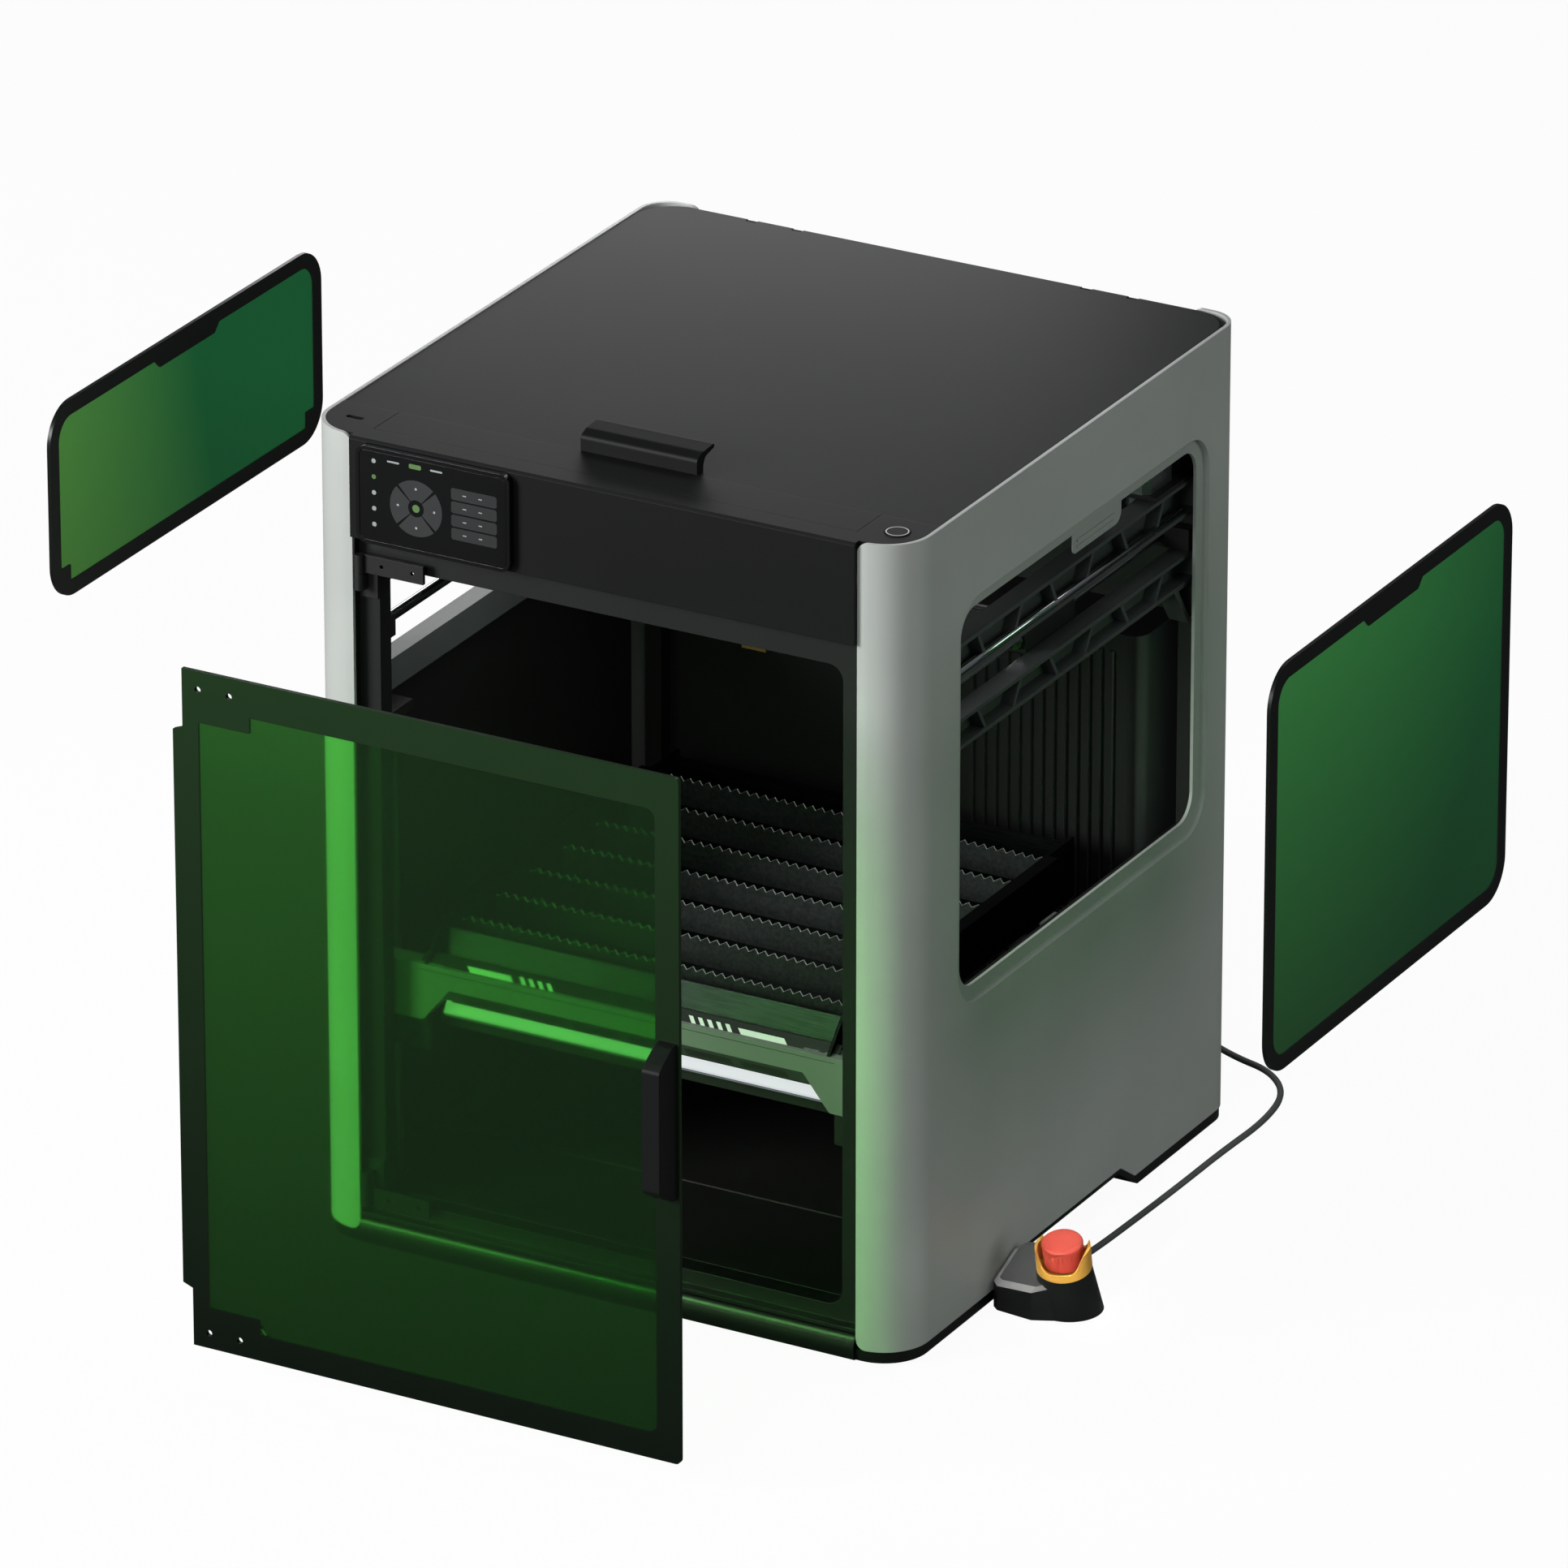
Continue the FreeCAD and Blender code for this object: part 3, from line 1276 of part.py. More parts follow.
def bed_carrier():
    """Bed frame: two arms with end blocks, a rear cross piece with a tongue, and the vent strip."""
    arm = block(arm_in, arm_in + arm_w, screw_y + nut_block, bed_rear, carrier_top - carrier_arm, carrier_top)
    end = slab([(arm_in, screw_y - nut_block, 4), (z_rod_x + 9, screw_y - nut_block, 4),
                (z_rod_x + 9, screw_y + nut_block, 4), (arm_in, screw_y + nut_block, 0)], "xy", carrier_low,
               carrier_top)
    cross = block(-arm_in - arm_w, arm_in + arm_w, bed_rear - 30, bed_rear, carrier_top - carrier_arm,
                  carrier_top)
    tongue = slab([(-tongue_half, bed_rear - 1, 0), (tongue_half, bed_rear - 1, 0),
                   (tongue_half, rear_screw_y + 9, 6), (-tongue_half, rear_screw_y + 9, 6)], "xy",
                  carrier_low,
                  carrier_top)
    tie = block(-arm_in - 1, arm_in + 1, screw_y - 1, screw_y + 14, carrier_top - carrier_arm, carrier_top)
    strip_low = bar_low + bar_h + 0.2
    strip_y = bed_front + 11.0
    strip = block(-strip_half, strip_half, strip_y, strip_y + 5.0, strip_low, strip_low + vent_strip_h - 0.2)
    hang = block(-strip_half, strip_half, strip_y + 12.2, strip_y + 14.5, carrier_top - 2,
                 strip_low + vent_strip_h - 0.2)
    roof = block(-strip_half, strip_half, strip_y, strip_y + 14.5, strip_low, strip_low + 1.5)
    tie_front = block(-strip_half, strip_half, strip_y + 12.2, screw_y, carrier_top - carrier_arm,
                      carrier_top)
    body = fused([arm, flipped(arm), end, flipped(end), cross, tongue, tie, strip, hang, roof, tie_front])
    waste = []
    for x, y in screw_spots:
        waste.append(upright(nut_r, x, y, carrier_low - 1, carrier_top + 1))
    for x in (-z_rod_x, z_rod_x):
        waste.append(upright(rod_r + 0.4, x, screw_y, carrier_low - 1, carrier_top + 1))
    pitch = 2 * strip_half / bed_vents
    for i in range(bed_vents):
        x = -strip_half + (i + 0.5) * pitch
        waste.append(slab([(x - pitch / 2 + 9, strip_low + 1.8, 0), (x + pitch / 2 - 3, strip_low + 1.8, 0),
                           (x + pitch / 2 - 5, strip_low + vent_strip_h - 1, 0),
                           (x - pitch / 2 + 5, strip_low + vent_strip_h - 1, 0)], "xz", strip_y - 1,
                          strip_y + 6))
    return body.cut(waste)


def bed_nuts():
    """Brass nuts on the three lead screws."""
    nuts = []
    for x, y in screw_spots:
        nut = upright(nut_r, x, y, carrier_low - nut_out, carrier_top)
        nuts.append(nut.cut(upright(screw_r + run_gap, x, y, carrier_low - nut_out - 1, carrier_top + 1)))
    return Part.makeCompound(nuts)


def heated_plate():
    """Bed plate on four short standoffs."""
    plate = slab(rect(-plate_half, plate_half, plate_front, bed_rear, 6.0), "xy", plate_low,
                 plate_low + plate_t)
    x = plate_half - 12
    x_arm = arm_in + 4
    feet = []
    for sx in (-1, 1):
        for y in (plate_front + 20, bed_rear - 15):
            feet.append(block(min(sx * x, sx * (x_arm + 6)), max(sx * x, sx * (x_arm + 6)), y - standoff_r,
                              y + standoff_r, carrier_top, plate_low))
    return fused([plate] + feet)


def cutting_tray():
    """Tray on the bed plate: base, side walls with sloped fronts and folded lips, rear wall, front apron."""
    low = plate_low + plate_t
    lap = bed_ledge
    back = bed_rear
    front = bed_front + beam_t + 1.0
    x0 = tray_half
    x1 = tray_half + tray_t
    wall = slab([(bed_front + 1.0, lap, 0), (bed_front + 1.0 + tray_slope, tray_top, 0), (back, tray_top, 0),
                 (back, low, 0), (plate_front, low, 0), (front, lap, 0)], "yz", x0, x1)
    lip = block(x1 - 1, x1 + tray_lip, bed_front + tray_slope + 4, back - 40, tray_top - tray_t, tray_top)
    base = block(-x0 - 1, x0 + 1, plate_front, back, low, low + tray_t)
    rear = block(-x0 - 1, x0 + 1, back - tray_t, back, low, tray_top - 6)
    apron_low = lap + 1.5
    apron = slab([(front + 3, apron_low, 0), (front + 5, apron_low, 0),
                  (front + 14, apron_low + tray_apron, 0),
                  (front + 12, apron_low + tray_apron, 0)], "yz", -x0 - 1, x0 + 1)
    link = slab([(front + 3, apron_low, 0), (front + 5, apron_low, 0), (plate_front + 2, low, 0),
                 (plate_front, low, 0)],
                "yz", -x0 - 1, x0 + 1)
    bead = slab(rect(bed_front + 14.0, bed_front + 19.0, lap, lap + 3.0, 1.2), "yz", -x0 - 1, x0 + 1)
    return fused([wall, flipped(wall), lip, flipped(lip), base, rear, apron, link, bead])


def saw_blade(y):
    """One upright blade along X with a saw-tooth top edge."""
    low = blade_top - blade_h
    gum = blade_top - tooth_h
    corners = [(-blade_half, low, 0), (blade_half, low, 0)]
    teeth = int(2 * blade_half / tooth_pitch)
    x = blade_half
    corners.append((x, gum, 0))
    for i in range(teeth):
        start = blade_half - i * tooth_pitch
        corners.append((start - tooth_pitch * 0.3, blade_top, 0))
        corners.append((start - tooth_pitch, gum, 0))
    if corners[-1][0] > -blade_half + 1e-6:
        corners.append((-blade_half, gum, 0))
    stiles = block(-blade_half, -blade_half + 10, y - blade_t / 2, y + blade_t / 2,
                   plate_low + plate_t + tray_t, low + 1)
    blade = slab(corners, "xz", y - blade_t / 2, y + blade_t / 2)
    other = flipped(stiles)
    return fused([blade, stiles, other])


def tray_blades():
    return Part.makeCompound([saw_blade(blade_first + i * blade_pitch) for i in range(blade_count)])


def gantry_beam():
    """Cross beam with a rail on its front face, and a carriage at each end."""
    x1 = y_rod_x - carriage_w / 2
    y0 = gantry_y - gantry_beam_w / 2
    z0 = y_rod_z - gantry_beam_h / 2
    tube = slab(rect(y0, y0 + gantry_beam_w, z0, z0 + gantry_beam_h, 2.0), "yz", -x1, x1)
    bore = slab(rect(y0 + 3, y0 + gantry_beam_w - 3, z0 + 3, z0 + gantry_beam_h - 3, 1.0), "yz", -x1 - 1,
                x1 + 1)
    rail = block(-x1 + 12, x1 - 12, y0 - rail_t, y0, y_rod_z - rail_w / 2, y_rod_z + rail_w / 2)
    half = carriage_len / 2
    carriage = slab([(gantry_y - half, y_rod_z - carriage_h / 2, 3),
                     (gantry_y + half, y_rod_z - carriage_h / 2, 3),
                     (gantry_y + half, y_rod_z + carriage_h / 2, 6),
                     (gantry_y - half, y_rod_z + carriage_h / 2, 6)],
                    "yz", x1, x1 + carriage_w)
    carriage = carriage.cut(rod(bearing_r, V(y_rod_x, gantry_y - half - 1, y_rod_z),
                                V(y_rod_x, gantry_y + half + 1, y_rod_z)))
    return Part.makeCompound([fused([tube.cut(bore), rail]), carriage, flipped(carriage)])


def carriage_bearings():
    """Linear bearings in the carriages, with their ends showing."""
    half = carriage_len / 2 + bearing_out
    a = V(y_rod_x, gantry_y - half, y_rod_z)
    b = V(y_rod_x, gantry_y + half, y_rod_z)
    sleeve = rod(bearing_r, a, b).cut(rod(rod_r + run_gap, a - V(0, 1, 0), b + V(0, 1, 0)))
    return both(sleeve)


def toolhead_housing():
    """Tool head cover, drawn in at its foot, with the block that runs on the gantry rail."""
    back = gantry_y - gantry_beam_w / 2 - rail_t - fit_gap
    y1 = back - 8.0
    y0 = y1 - tool_d
    half = tool_w / 2
    z1 = tool_low + tool_h
    shell = slab([(y0 + 16, tool_low, 3), (y1, tool_low, 0), (y1, z1, 3), (y0 + 6, z1, 10), (y0, z1 - 14, 6),
                  (y0, tool_low + 26, 10)], "yz", -half, half)
    trim = slab([(-half + 9, tool_low - 1, 0), (half - 9, tool_low - 1, 0), (half, tool_low + 24, 8),
                 (half, z1 + 1, 0), (-half, z1 + 1, 0), (-half, tool_low + 24, 8)], "xz", y0 - 1, y1 + 1)
    shell = shell.common(trim)
    runner = block(-half + 8, half - 8, y1 - 1, back + rail_t - 0.5, y_rod_z - rail_w / 2 - 5,
                   y_rod_z + rail_w / 2 + 5)
    runner = runner.cut(block(-half, half, back, back + rail_t + 1, y_rod_z - rail_w / 2 - fit_gap,
                              y_rod_z + rail_w / 2 + fit_gap))
    return fused([shell, runner])


def toolhead_nozzle():
    """Nozzle under the tool head: heater block, hexagon and cone."""
    x = 0.0
    y = gantry_y - gantry_beam_w / 2 - rail_t - fit_gap - 8.0 - tool_d / 2 + 6
    heater = block(x - 10, x + 10, y - 8, y + 8, nozzle_tip + 5, tool_low)
    cone = Part.makeCone(0.8, nozzle_r / 2, 2.5, V(x, y, nozzle_tip))
    hexagon = upright(nozzle_r / 2, x, y, nozzle_tip + 2.5, nozzle_tip + 5)
    return fused([heater, cone, hexagon])


def tilt_stop(shape):
    """Set a piece drawn upright on the stop box's axis to its tilted place."""
    base = V(stop_x, stop_y, 0)
    lean = V(math.cos(math.radians(stop_turn)), math.sin(math.radians(stop_turn)), 0)
    moved = shape.copy()
    moved.rotate(base, lean, stop_tilt)
    return moved


def stop_plan(inset):
    """Plan of the stop box's flat part, drawn in by inset along its open edges."""
    x0 = stop_left + inset
    slant = inset * 0.41
    nose = stop_left + stop_nose
    return [
        (x0 + stop_cut_x - slant, stop_front + stop_cut_y + inset), (nose + slant, stop_front + inset),
        (stop_x + 4.0, stop_foot_y - stop_base_r + 1.0 + inset), (stop_x - 6.0, stop_back - inset),
        (x0 + stop_cut_back - slant, stop_back - inset), (x0, stop_side_back - slant),
        (x0, stop_side_front + slant),
    ]


def stop_rim(inset, lift):
    """Rim of the flat part's sloping top, drawn in by inset and lifted off the slope."""
    points = []
    for x, y in stop_plan(inset):
        z = stop_low + stop_rise * (y - stop_front - stop_cut_y) + stop_bank * (x - stop_left - stop_cut_x)
        points.append(V(x, y, z + lift))
    return Part.makePolygon(points + points[:1])


def stop_ring(radius, height_up):
    """Circle round the stop box's tilted axis."""
    return tilt_stop(Part.Wire(Part.makeCircle(radius, V(stop_x, stop_y, height_up))))


def stop_housing():
    """Floor box: a flat part with a bevelled, sloping top, and a tapered round neck that leans forward."""
    floor = [V(x, y, 0) for x, y in stop_plan(0.0)]
    foot_line = Part.makePolygon(floor + floor[:1])
    box = Part.makeLoft([foot_line, stop_rim(0.0, 0.0)], True, True)
    bevel = Part.makeLoft([stop_rim(0.0, 0.0), stop_rim(bevel_in, bevel_up)], True, True)
    foot = Part.Wire(Part.makeCircle(stop_base_r, V(stop_x, stop_foot_y, 0)))
    neck = Part.makeLoft([foot, stop_ring(stop_neck_r, stop_neck_h)], True, True)
    body = fused([box, bevel, neck])
    pit = Part.makeCylinder(stem_r + fit_gap, stem_len + 2, V(stop_x, stop_y, stop_neck_h - stem_len))
    above = Part.makeCylinder(collar_r + 1.0, collar_ear, V(stop_x, stop_y, stop_neck_h))
    return body.cut([tilt_stop(pit), tilt_stop(above)])


def stop_collar():
    """Guard collar on the neck: a ring cut by a wide rounded saddle, which leaves an ear on each side."""
    z = stop_neck_h
    ring = Part.makeCylinder(collar_r, collar_ear, V(stop_x, stop_y, z))
    bore = Part.makeCylinder(collar_r - collar_t, collar_ear, V(stop_x, stop_y, z + collar_floor))
    low = z + collar_low
    high = z + collar_ear + 1
    saddle = slab([(stop_x - saddle_low, low, saddle_r), (stop_x + saddle_low, low, saddle_r),
                   (stop_x + saddle_high, high, 0), (stop_x - saddle_high, high, 0)], "xz",
                  stop_y - collar_r - 5, stop_y + collar_r + 5)
    saddle.rotate(V(stop_x, stop_y, z), V(0, 0, 1), ear_turn)
    hole = Part.makeCylinder(stem_r + fit_gap, 4, V(stop_x, stop_y, z - 1))
    return tilt_stop(ring.cut([bore, saddle, hole]))


def stop_stem():
    """Push stem under the cap."""
    z = stop_neck_h + collar_floor + cap_lift
    return tilt_stop(Part.makeCylinder(stem_r, stem_len, V(stop_x, stop_y, z - stem_len + stop_travel + 1)))


def stop_cap():
    """Mushroom cap with a fluted side and a rounded top, turning on the stem."""
    z = stop_neck_h + collar_floor + cap_lift
    body = Part.makeCone(cap_r - 1.2, cap_r, cap_h, V(stop_x, stop_y, z))
    top = [e for e in body.Edges if e.BoundBox.ZMin > z + cap_h - 0.1
           and e.Curve.TypeId == "Part::GeomCircle"]
    body = body.makeFillet(2.5, top)
    flutes = []
    for i in range(cap_flutes):
        a = 2 * math.pi * i / cap_flutes
        x = stop_x + (cap_r + 0.2) * math.cos(a)
        y = stop_y + (cap_r + 0.2) * math.sin(a)
        flutes.append(Part.makeCylinder(flute_r, cap_h - 5, V(x, y, z - 0.5)))
    pit = Part.makeCylinder(stem_r + run_gap, stop_travel + 1 + fit_gap, V(stop_x, stop_y, z - fit_gap))
    return tilt_stop(body.cut(flutes + [pit]))


def strain_relief():
    """Tapered sleeve where the cord leaves the stop box."""
    x, y, z = cord_points[0]
    out = V(cord_points[1][0] - x, cord_points[1][1] - y, cord_points[1][2] - z)
    out.normalize()
    end = V(x, y, z)
    sleeve = Part.makeCone(relief_r, cord_r + 0.8, relief_len, end - out * relief_len, out)
    return sleeve.cut(stop_housing())


def cord_wire():
    """Cord's route: straight runs joined by tangent arcs, as large as the runs allow."""
    points = [V(*p) for p in cord_points]
    edges = []
    start = points[0]
    radii = []
    for i in range(1, len(points) - 1):
        back = points[i - 1] - points[i]
        ahead = points[i + 1] - points[i]
        shorter = min(back.Length, ahead.Length)
        back.normalize()
        ahead.normalize()
        half = back.getAngle(ahead) / 2
        reach = 0.45 * shorter
        radius = reach * math.tan(half)
        radii.append(radius)
        middle = back + ahead
        middle.normalize()
        a = points[i] + back * reach
        b = points[i] + ahead * reach
        edges.append(Part.LineSegment(start, a).toShape())
        edges.append(Part.Arc(a, points[i] + middle * (radius / math.sin(half) - radius), b).toShape())
        start = b
    edges.append(Part.LineSegment(start, points[-1]).toShape())
    return Part.Wire(edges), radii


def stop_cord():
    path, radii = cord_wire()
    first = V(*cord_points[1]) - V(*cord_points[0])
    ring = Part.Wire(Part.makeCircle(cord_r, V(*cord_points[0]), first))
    tube = path.makePipeShell([ring], True, False)
    print("cord length", round(path.Length, 1), "volume ratio",
          round(tube.Volume / (math.pi * cord_r ** 2 * path.Length), 4))
    print("cord radii", [round(r, 1) for r in radii])
    return tube


def stop_socket():
    """Round socket on the rear panel for the stop box's cord."""
    face = rear_out
    flange = rod(socket_r + 2, V(socket_x, face, socket_z), V(socket_x, face + 2.5, socket_z))
    barrel = rod(socket_r - 1, V(socket_x, rear_in - 8, socket_z), V(socket_x, face + 1, socket_z))
    nose = rod(socket_r, V(socket_x, face + 1, socket_z), V(socket_x, face + socket_out, socket_z))
    return fused([flange, barrel, nose])


def stop_plug():
    """Round plug and its tapered tail, on the end of the cord."""
    y0 = rear_out + socket_out
    end = V(*cord_points[-1])
    inward = V(*cord_points[-2]) - end
    inward.normalize()
    sleeve = rod(plug_r, V(socket_x, y0, socket_z), V(socket_x, y0 + plug_len, socket_z))
    tail = Part.makeCone(plug_r - 1.3, cord_r + 0.8, end.y - y0 - plug_len,
                         V(socket_x, y0 + plug_len, socket_z), V(0, 1, 0))
    return fused([sleeve, tail])


def build():
    right = window_frame("right")
    left = flipped(window_frame("left"))
    shapes = {
        "base_plinth": base_plinth(),
        "rubber_feet": rubber_feet(),
        "left_side_panel": flipped(side_panel("left")),
        "right_side_panel": side_panel("right"),
        "window_frames": Part.makeCompound([right, left]),
        "door_frame": door_frame(),
        "front_fascia": front_fascia(),
        "top_front_cover": top_front_cover(),
        "screen_bezel": screen_bezel(),
        "screen_glass": screen_glass(),
        "power_button": power_button(),
        "lid_panel": lid_panel(),
        "lid_handle": lid_handle(),
        "lid_hinge_ears": lid_hinge_ears(),
        "top_frame": top_frame(),
        "rear_panel": rear_panel(),
        "exhaust_fan_frame": fan_frame(),
        "fan_rotor": fan_rotor(),
        "mains_inlet": mains_inlet(),
        "rocker_switch": rocker_switch(),
        "chamber_liners": chamber_liners(),
        "corner_columns": corner_columns(),
        "side_beams": side_beams(),
        "guide_rods": guide_rods(),
        "rear_bay_cover": rear_bay_cover(),
        "power_supply": power_supply(),
        "main_board": main_board(),
        "stepper_motors": stepper_motors(),
        "right_motor_pulley": motor_pulley(),
        "left_motor_pulley": flipped(motor_pulley()),
        "drive_belts": drive_belts(),
        "left_screw": lead_screw(*screw_spots[0]),
        "right_screw": lead_screw(*screw_spots[1]),
        "rear_screw": lead_screw(*screw_spots[2]),
        "door_panel": door_panel(),
        "door_handle": door_handle(),
        "door_hinge_leaves": hinge_leaves(),
        "door_hinge_blocks": hinge_blocks(),
        "right_window": window_panel("right"),
        "left_window": flipped(window_panel("left")),
        "bed_front_beam": bed_front_beam(),
        "bed_light_bar": bed_light_bar(),
        "bed_carrier": bed_carrier(),
        "bed_nuts": bed_nuts(),
        "heated_plate": heated_plate(),
        "cutting_tray": cutting_tray(),
        "tray_blades": tray_blades(),
        "gantry_beam": gantry_beam(),
        "carriage_bearings": carriage_bearings(),
        "toolhead_housing": toolhead_housing(),
        "toolhead_nozzle": toolhead_nozzle(),
        "estop_housing": stop_housing(),
        "estop_collar": stop_collar(),
        "estop_stem": stop_stem(),
        "estop_cap": stop_cap(),
        "estop_strain_relief": strain_relief(),
        "estop_cord": stop_cord(),
        "estop_socket": stop_socket(),
        "estop_plug": stop_plug(),
    }
    os.makedirs("parts", exist_ok=True)
    for name, shape in shapes.items():
        shape.exportStep("parts/" + name + ".step")
    return shapes


if __name__ == "__main__":
    build()
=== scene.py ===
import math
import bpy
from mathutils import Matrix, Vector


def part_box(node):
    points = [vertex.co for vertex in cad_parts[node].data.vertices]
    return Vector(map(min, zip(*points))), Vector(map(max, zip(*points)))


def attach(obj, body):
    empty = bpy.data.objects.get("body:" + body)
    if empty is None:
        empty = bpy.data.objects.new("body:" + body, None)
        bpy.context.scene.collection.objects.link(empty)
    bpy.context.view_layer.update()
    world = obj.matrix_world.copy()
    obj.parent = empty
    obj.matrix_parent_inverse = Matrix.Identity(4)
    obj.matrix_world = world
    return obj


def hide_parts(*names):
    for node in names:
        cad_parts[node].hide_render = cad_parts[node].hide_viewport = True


bl_info = {
    "name": "Enclosed Desktop Printer",
    "version": (1, 0, 0),
    "blender": (4, 5, 0),
    "location": "3D View > Sidebar > Printer",
    "description": "Finishes, printed marks, cord and studio for an enclosed desktop printer",
    "category": "Object",
}

import bpy
from bpy.props import FloatProperty, FloatVectorProperty, PointerProperty
from mathutils import Vector

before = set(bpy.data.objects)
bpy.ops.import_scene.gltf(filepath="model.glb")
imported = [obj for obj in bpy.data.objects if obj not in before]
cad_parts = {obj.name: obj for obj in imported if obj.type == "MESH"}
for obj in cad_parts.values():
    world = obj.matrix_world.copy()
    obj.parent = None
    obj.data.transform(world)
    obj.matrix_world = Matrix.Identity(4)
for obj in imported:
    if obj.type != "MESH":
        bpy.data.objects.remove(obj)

MM = 0.001

# Route of the stop box's cord, from the box to the socket in the cabinet's rear, in millimetres
CORD_ROUTE = [
    (273.0, -64.0, 10.5), (271.0, -14.0, 4.2), (271.8, 49.0, 2.7), (273.6, 118.0, 2.7),
    (274.0, 188.0, 2.7), (277.0, 250.0, 2.7), (268.5, 300.0, 2.7), (241.0, 331.0, 2.7),
    (206.0, 341.0, 2.7), (176.0, 356.0, 2.7), (150.0, 374.0, 4.0), (127.0, 379.0, 15.0),
    (112.0, 367.0, 33.0), (110.0, 341.0, 50.0), (110.0, 315.0, 50.0),
]

# Broad patches of a finish, the part of a noise's range that blends its tones, and its roughness's swing
PATCH = 120 * MM
BLEND = (0.35, 0.65)
SWING = 0.05

# Grit of powder paint and of a moulded surface, drawn coarser than the real one to show, and its height
PAINT_GRIT = 0.6 * MM
PAINT_DEPTH = 0.03 * MM
MOULD_GRIT = 0.5 * MM
MOULD_DEPTH = 0.03 * MM

# Lines in bare metal: their width, drawn coarser than the real one to show, height and roughness's swing
METAL_LINE = MM / 0.9
METAL_DEPTH = 0.02 * MM
METAL_SWING = 0.06

# Grain of the cut blades, and the patches of a printed or lit mark
BLADE_GRAIN = 3 * MM
MARK_PATCH = 30 * MM

# Half size in metres that keeps a sheet's own thickness out of a distance across it
ANY_THICKNESS = 10.0

# Ink of the side windows: corner radius, its tones, the tab's half width and depth, and square corners
WINDOW_RADIUS = 30 * MM
WINDOW_INKS = ("#080C09", "#0B100C")
TAB_HALF = 58 * MM
TAB_DEPTH = 19 * MM
SQUARE_CORNER = 25 * MM

# Clear field of the door: margins at its low and high edges, radius, the ink's tones and its inked corners
DOOR_LOW_MARGIN = Vector((21, 0, 20)) * MM
DOOR_HIGH_MARGIN = Vector((19, 0, 27)) * MM
DOOR_RADIUS = 8 * MM
DOOR_INKS = ("#040D05", "#152D13")
DOOR_CORNER = (42 * MM, 12 * MM)

# Heights between which the sheets' ink and shadow change their tone, their IOR and the size of their haze
SHEET_RISE = (0.03, 0.55)
ACRYLIC_IOR = 1.49
HAZE = 40 * MM

# Lower and upper edge of the bed's light bar at rest
BAR_RISE = (178.5 * MM, 191 * MM)

# Display layout in millimetres and degrees, from the upper left corner of its glass
DIAL_AT = (46.5, 37.2)
DIAL_RING = (6.5, 21.5)
DIAL_GAP = 3
DIAL_HUB = (0.2, 3.0)
DIAL_STEPS = 14
HUB_STEPS = 20
SPOT_RADIUS = 15.0
SPOT_SIDE = 1.8
LIST_AT = (75.5, 15.0)
LIST_SIZE = (37.5, 9.0)
LIST_PITCH = 10.2
LIST_ROWS = 4
DASH_LEFTS = (85.0, 98.0)
DASH_TOP = 19.2
DASH_SIZE = (3.0, 0.8)
ICON_AT = (10.2, 5.4)
ICON_SIDE = 3.4
ICON_PITCH = 12.2
ICON_ROWS = 5
GREEN_ROW = 1
HEADER_LEFTS = (23.0, 58.5)
HEADER_TOP = 4.5
HEADER_SIZE = (10.0, 1.4)
BADGE_AT = (41.0, 3.4)
BADGE_SIZE = (10.0, 3.6)

# Cut corners of the keys and marks on the display, and how far they stand off its glass, in millimetres
KEY_CUT = 1.2
ICON_CUT = 0.9
BADGE_CUT = 0.8
SPOT_CUT = 0.4
DASH_CUT = 0.2
KEY_LIFT = 0.08
ICON_LIFT = 0.12

# Sloped front plate of the bed in millimetres: half width, height, its lower edge from the beam's front
# and top, its run back for each millimetre up, and the way off it
PLATE_HALF = 172
PLATE_UP = 9.5
PLATE_FOOT = (-0.3, -4)
PLATE_RUN = 1.35
PLATE_OFF = (-0.57, 0.82)

# Marks on that plate in millimetres: lower and upper edges, left end and number of each row of bars,
# left end and width of each block, and how far the marks lean and stand off
MARK_FOOT = 1.2
BAR_TOP = 7.0
BLOCK_TOP = 6.4
DIM_TOP = 4.6
BAR_ROWS = ((56, 5), (-84, 4))
BAR_WIDTH = 3.6
BAR_PITCH = 7.5
BLOCKS = ((97, 38), (-127, 36))
DIM_BLOCKS = ((141, 12), (158, 12))
MARK_LEAN = -8.5
DIM_LEAN = 4.0
MARK_LIFT = 0.15

# Vent strip on the bed's front beam in millimetres: its foot over the beam's, its height, its half widths
# below and above, and its slots
VENT_FOOT = 20
VENT_HEIGHT = 7.5
VENT_HALVES = (152, 146)
VENT_SLOTS = 6
SLOT_START = -132
SLOT_PITCH = 46
SLOT_WIDTH = 38
SLOT_LEAN = -4
SLOT_RISE = (0.8, 5.2)
VENT_LIFT = 0.2
SLOT_LIFT = 0.3

# Polished rods outside the side beams, and the ring round the power button, in millimetres
OUTER_ROD_RADIUS = 2.4
OUTER_ROD_X = 229
OUTER_ROD_Y = (-150, 196)
OUTER_ROD_Z = 505.5
RING_RADII = (7.6, 8.4)
RING_PARTS = 36
RING_LIFT = 0.06

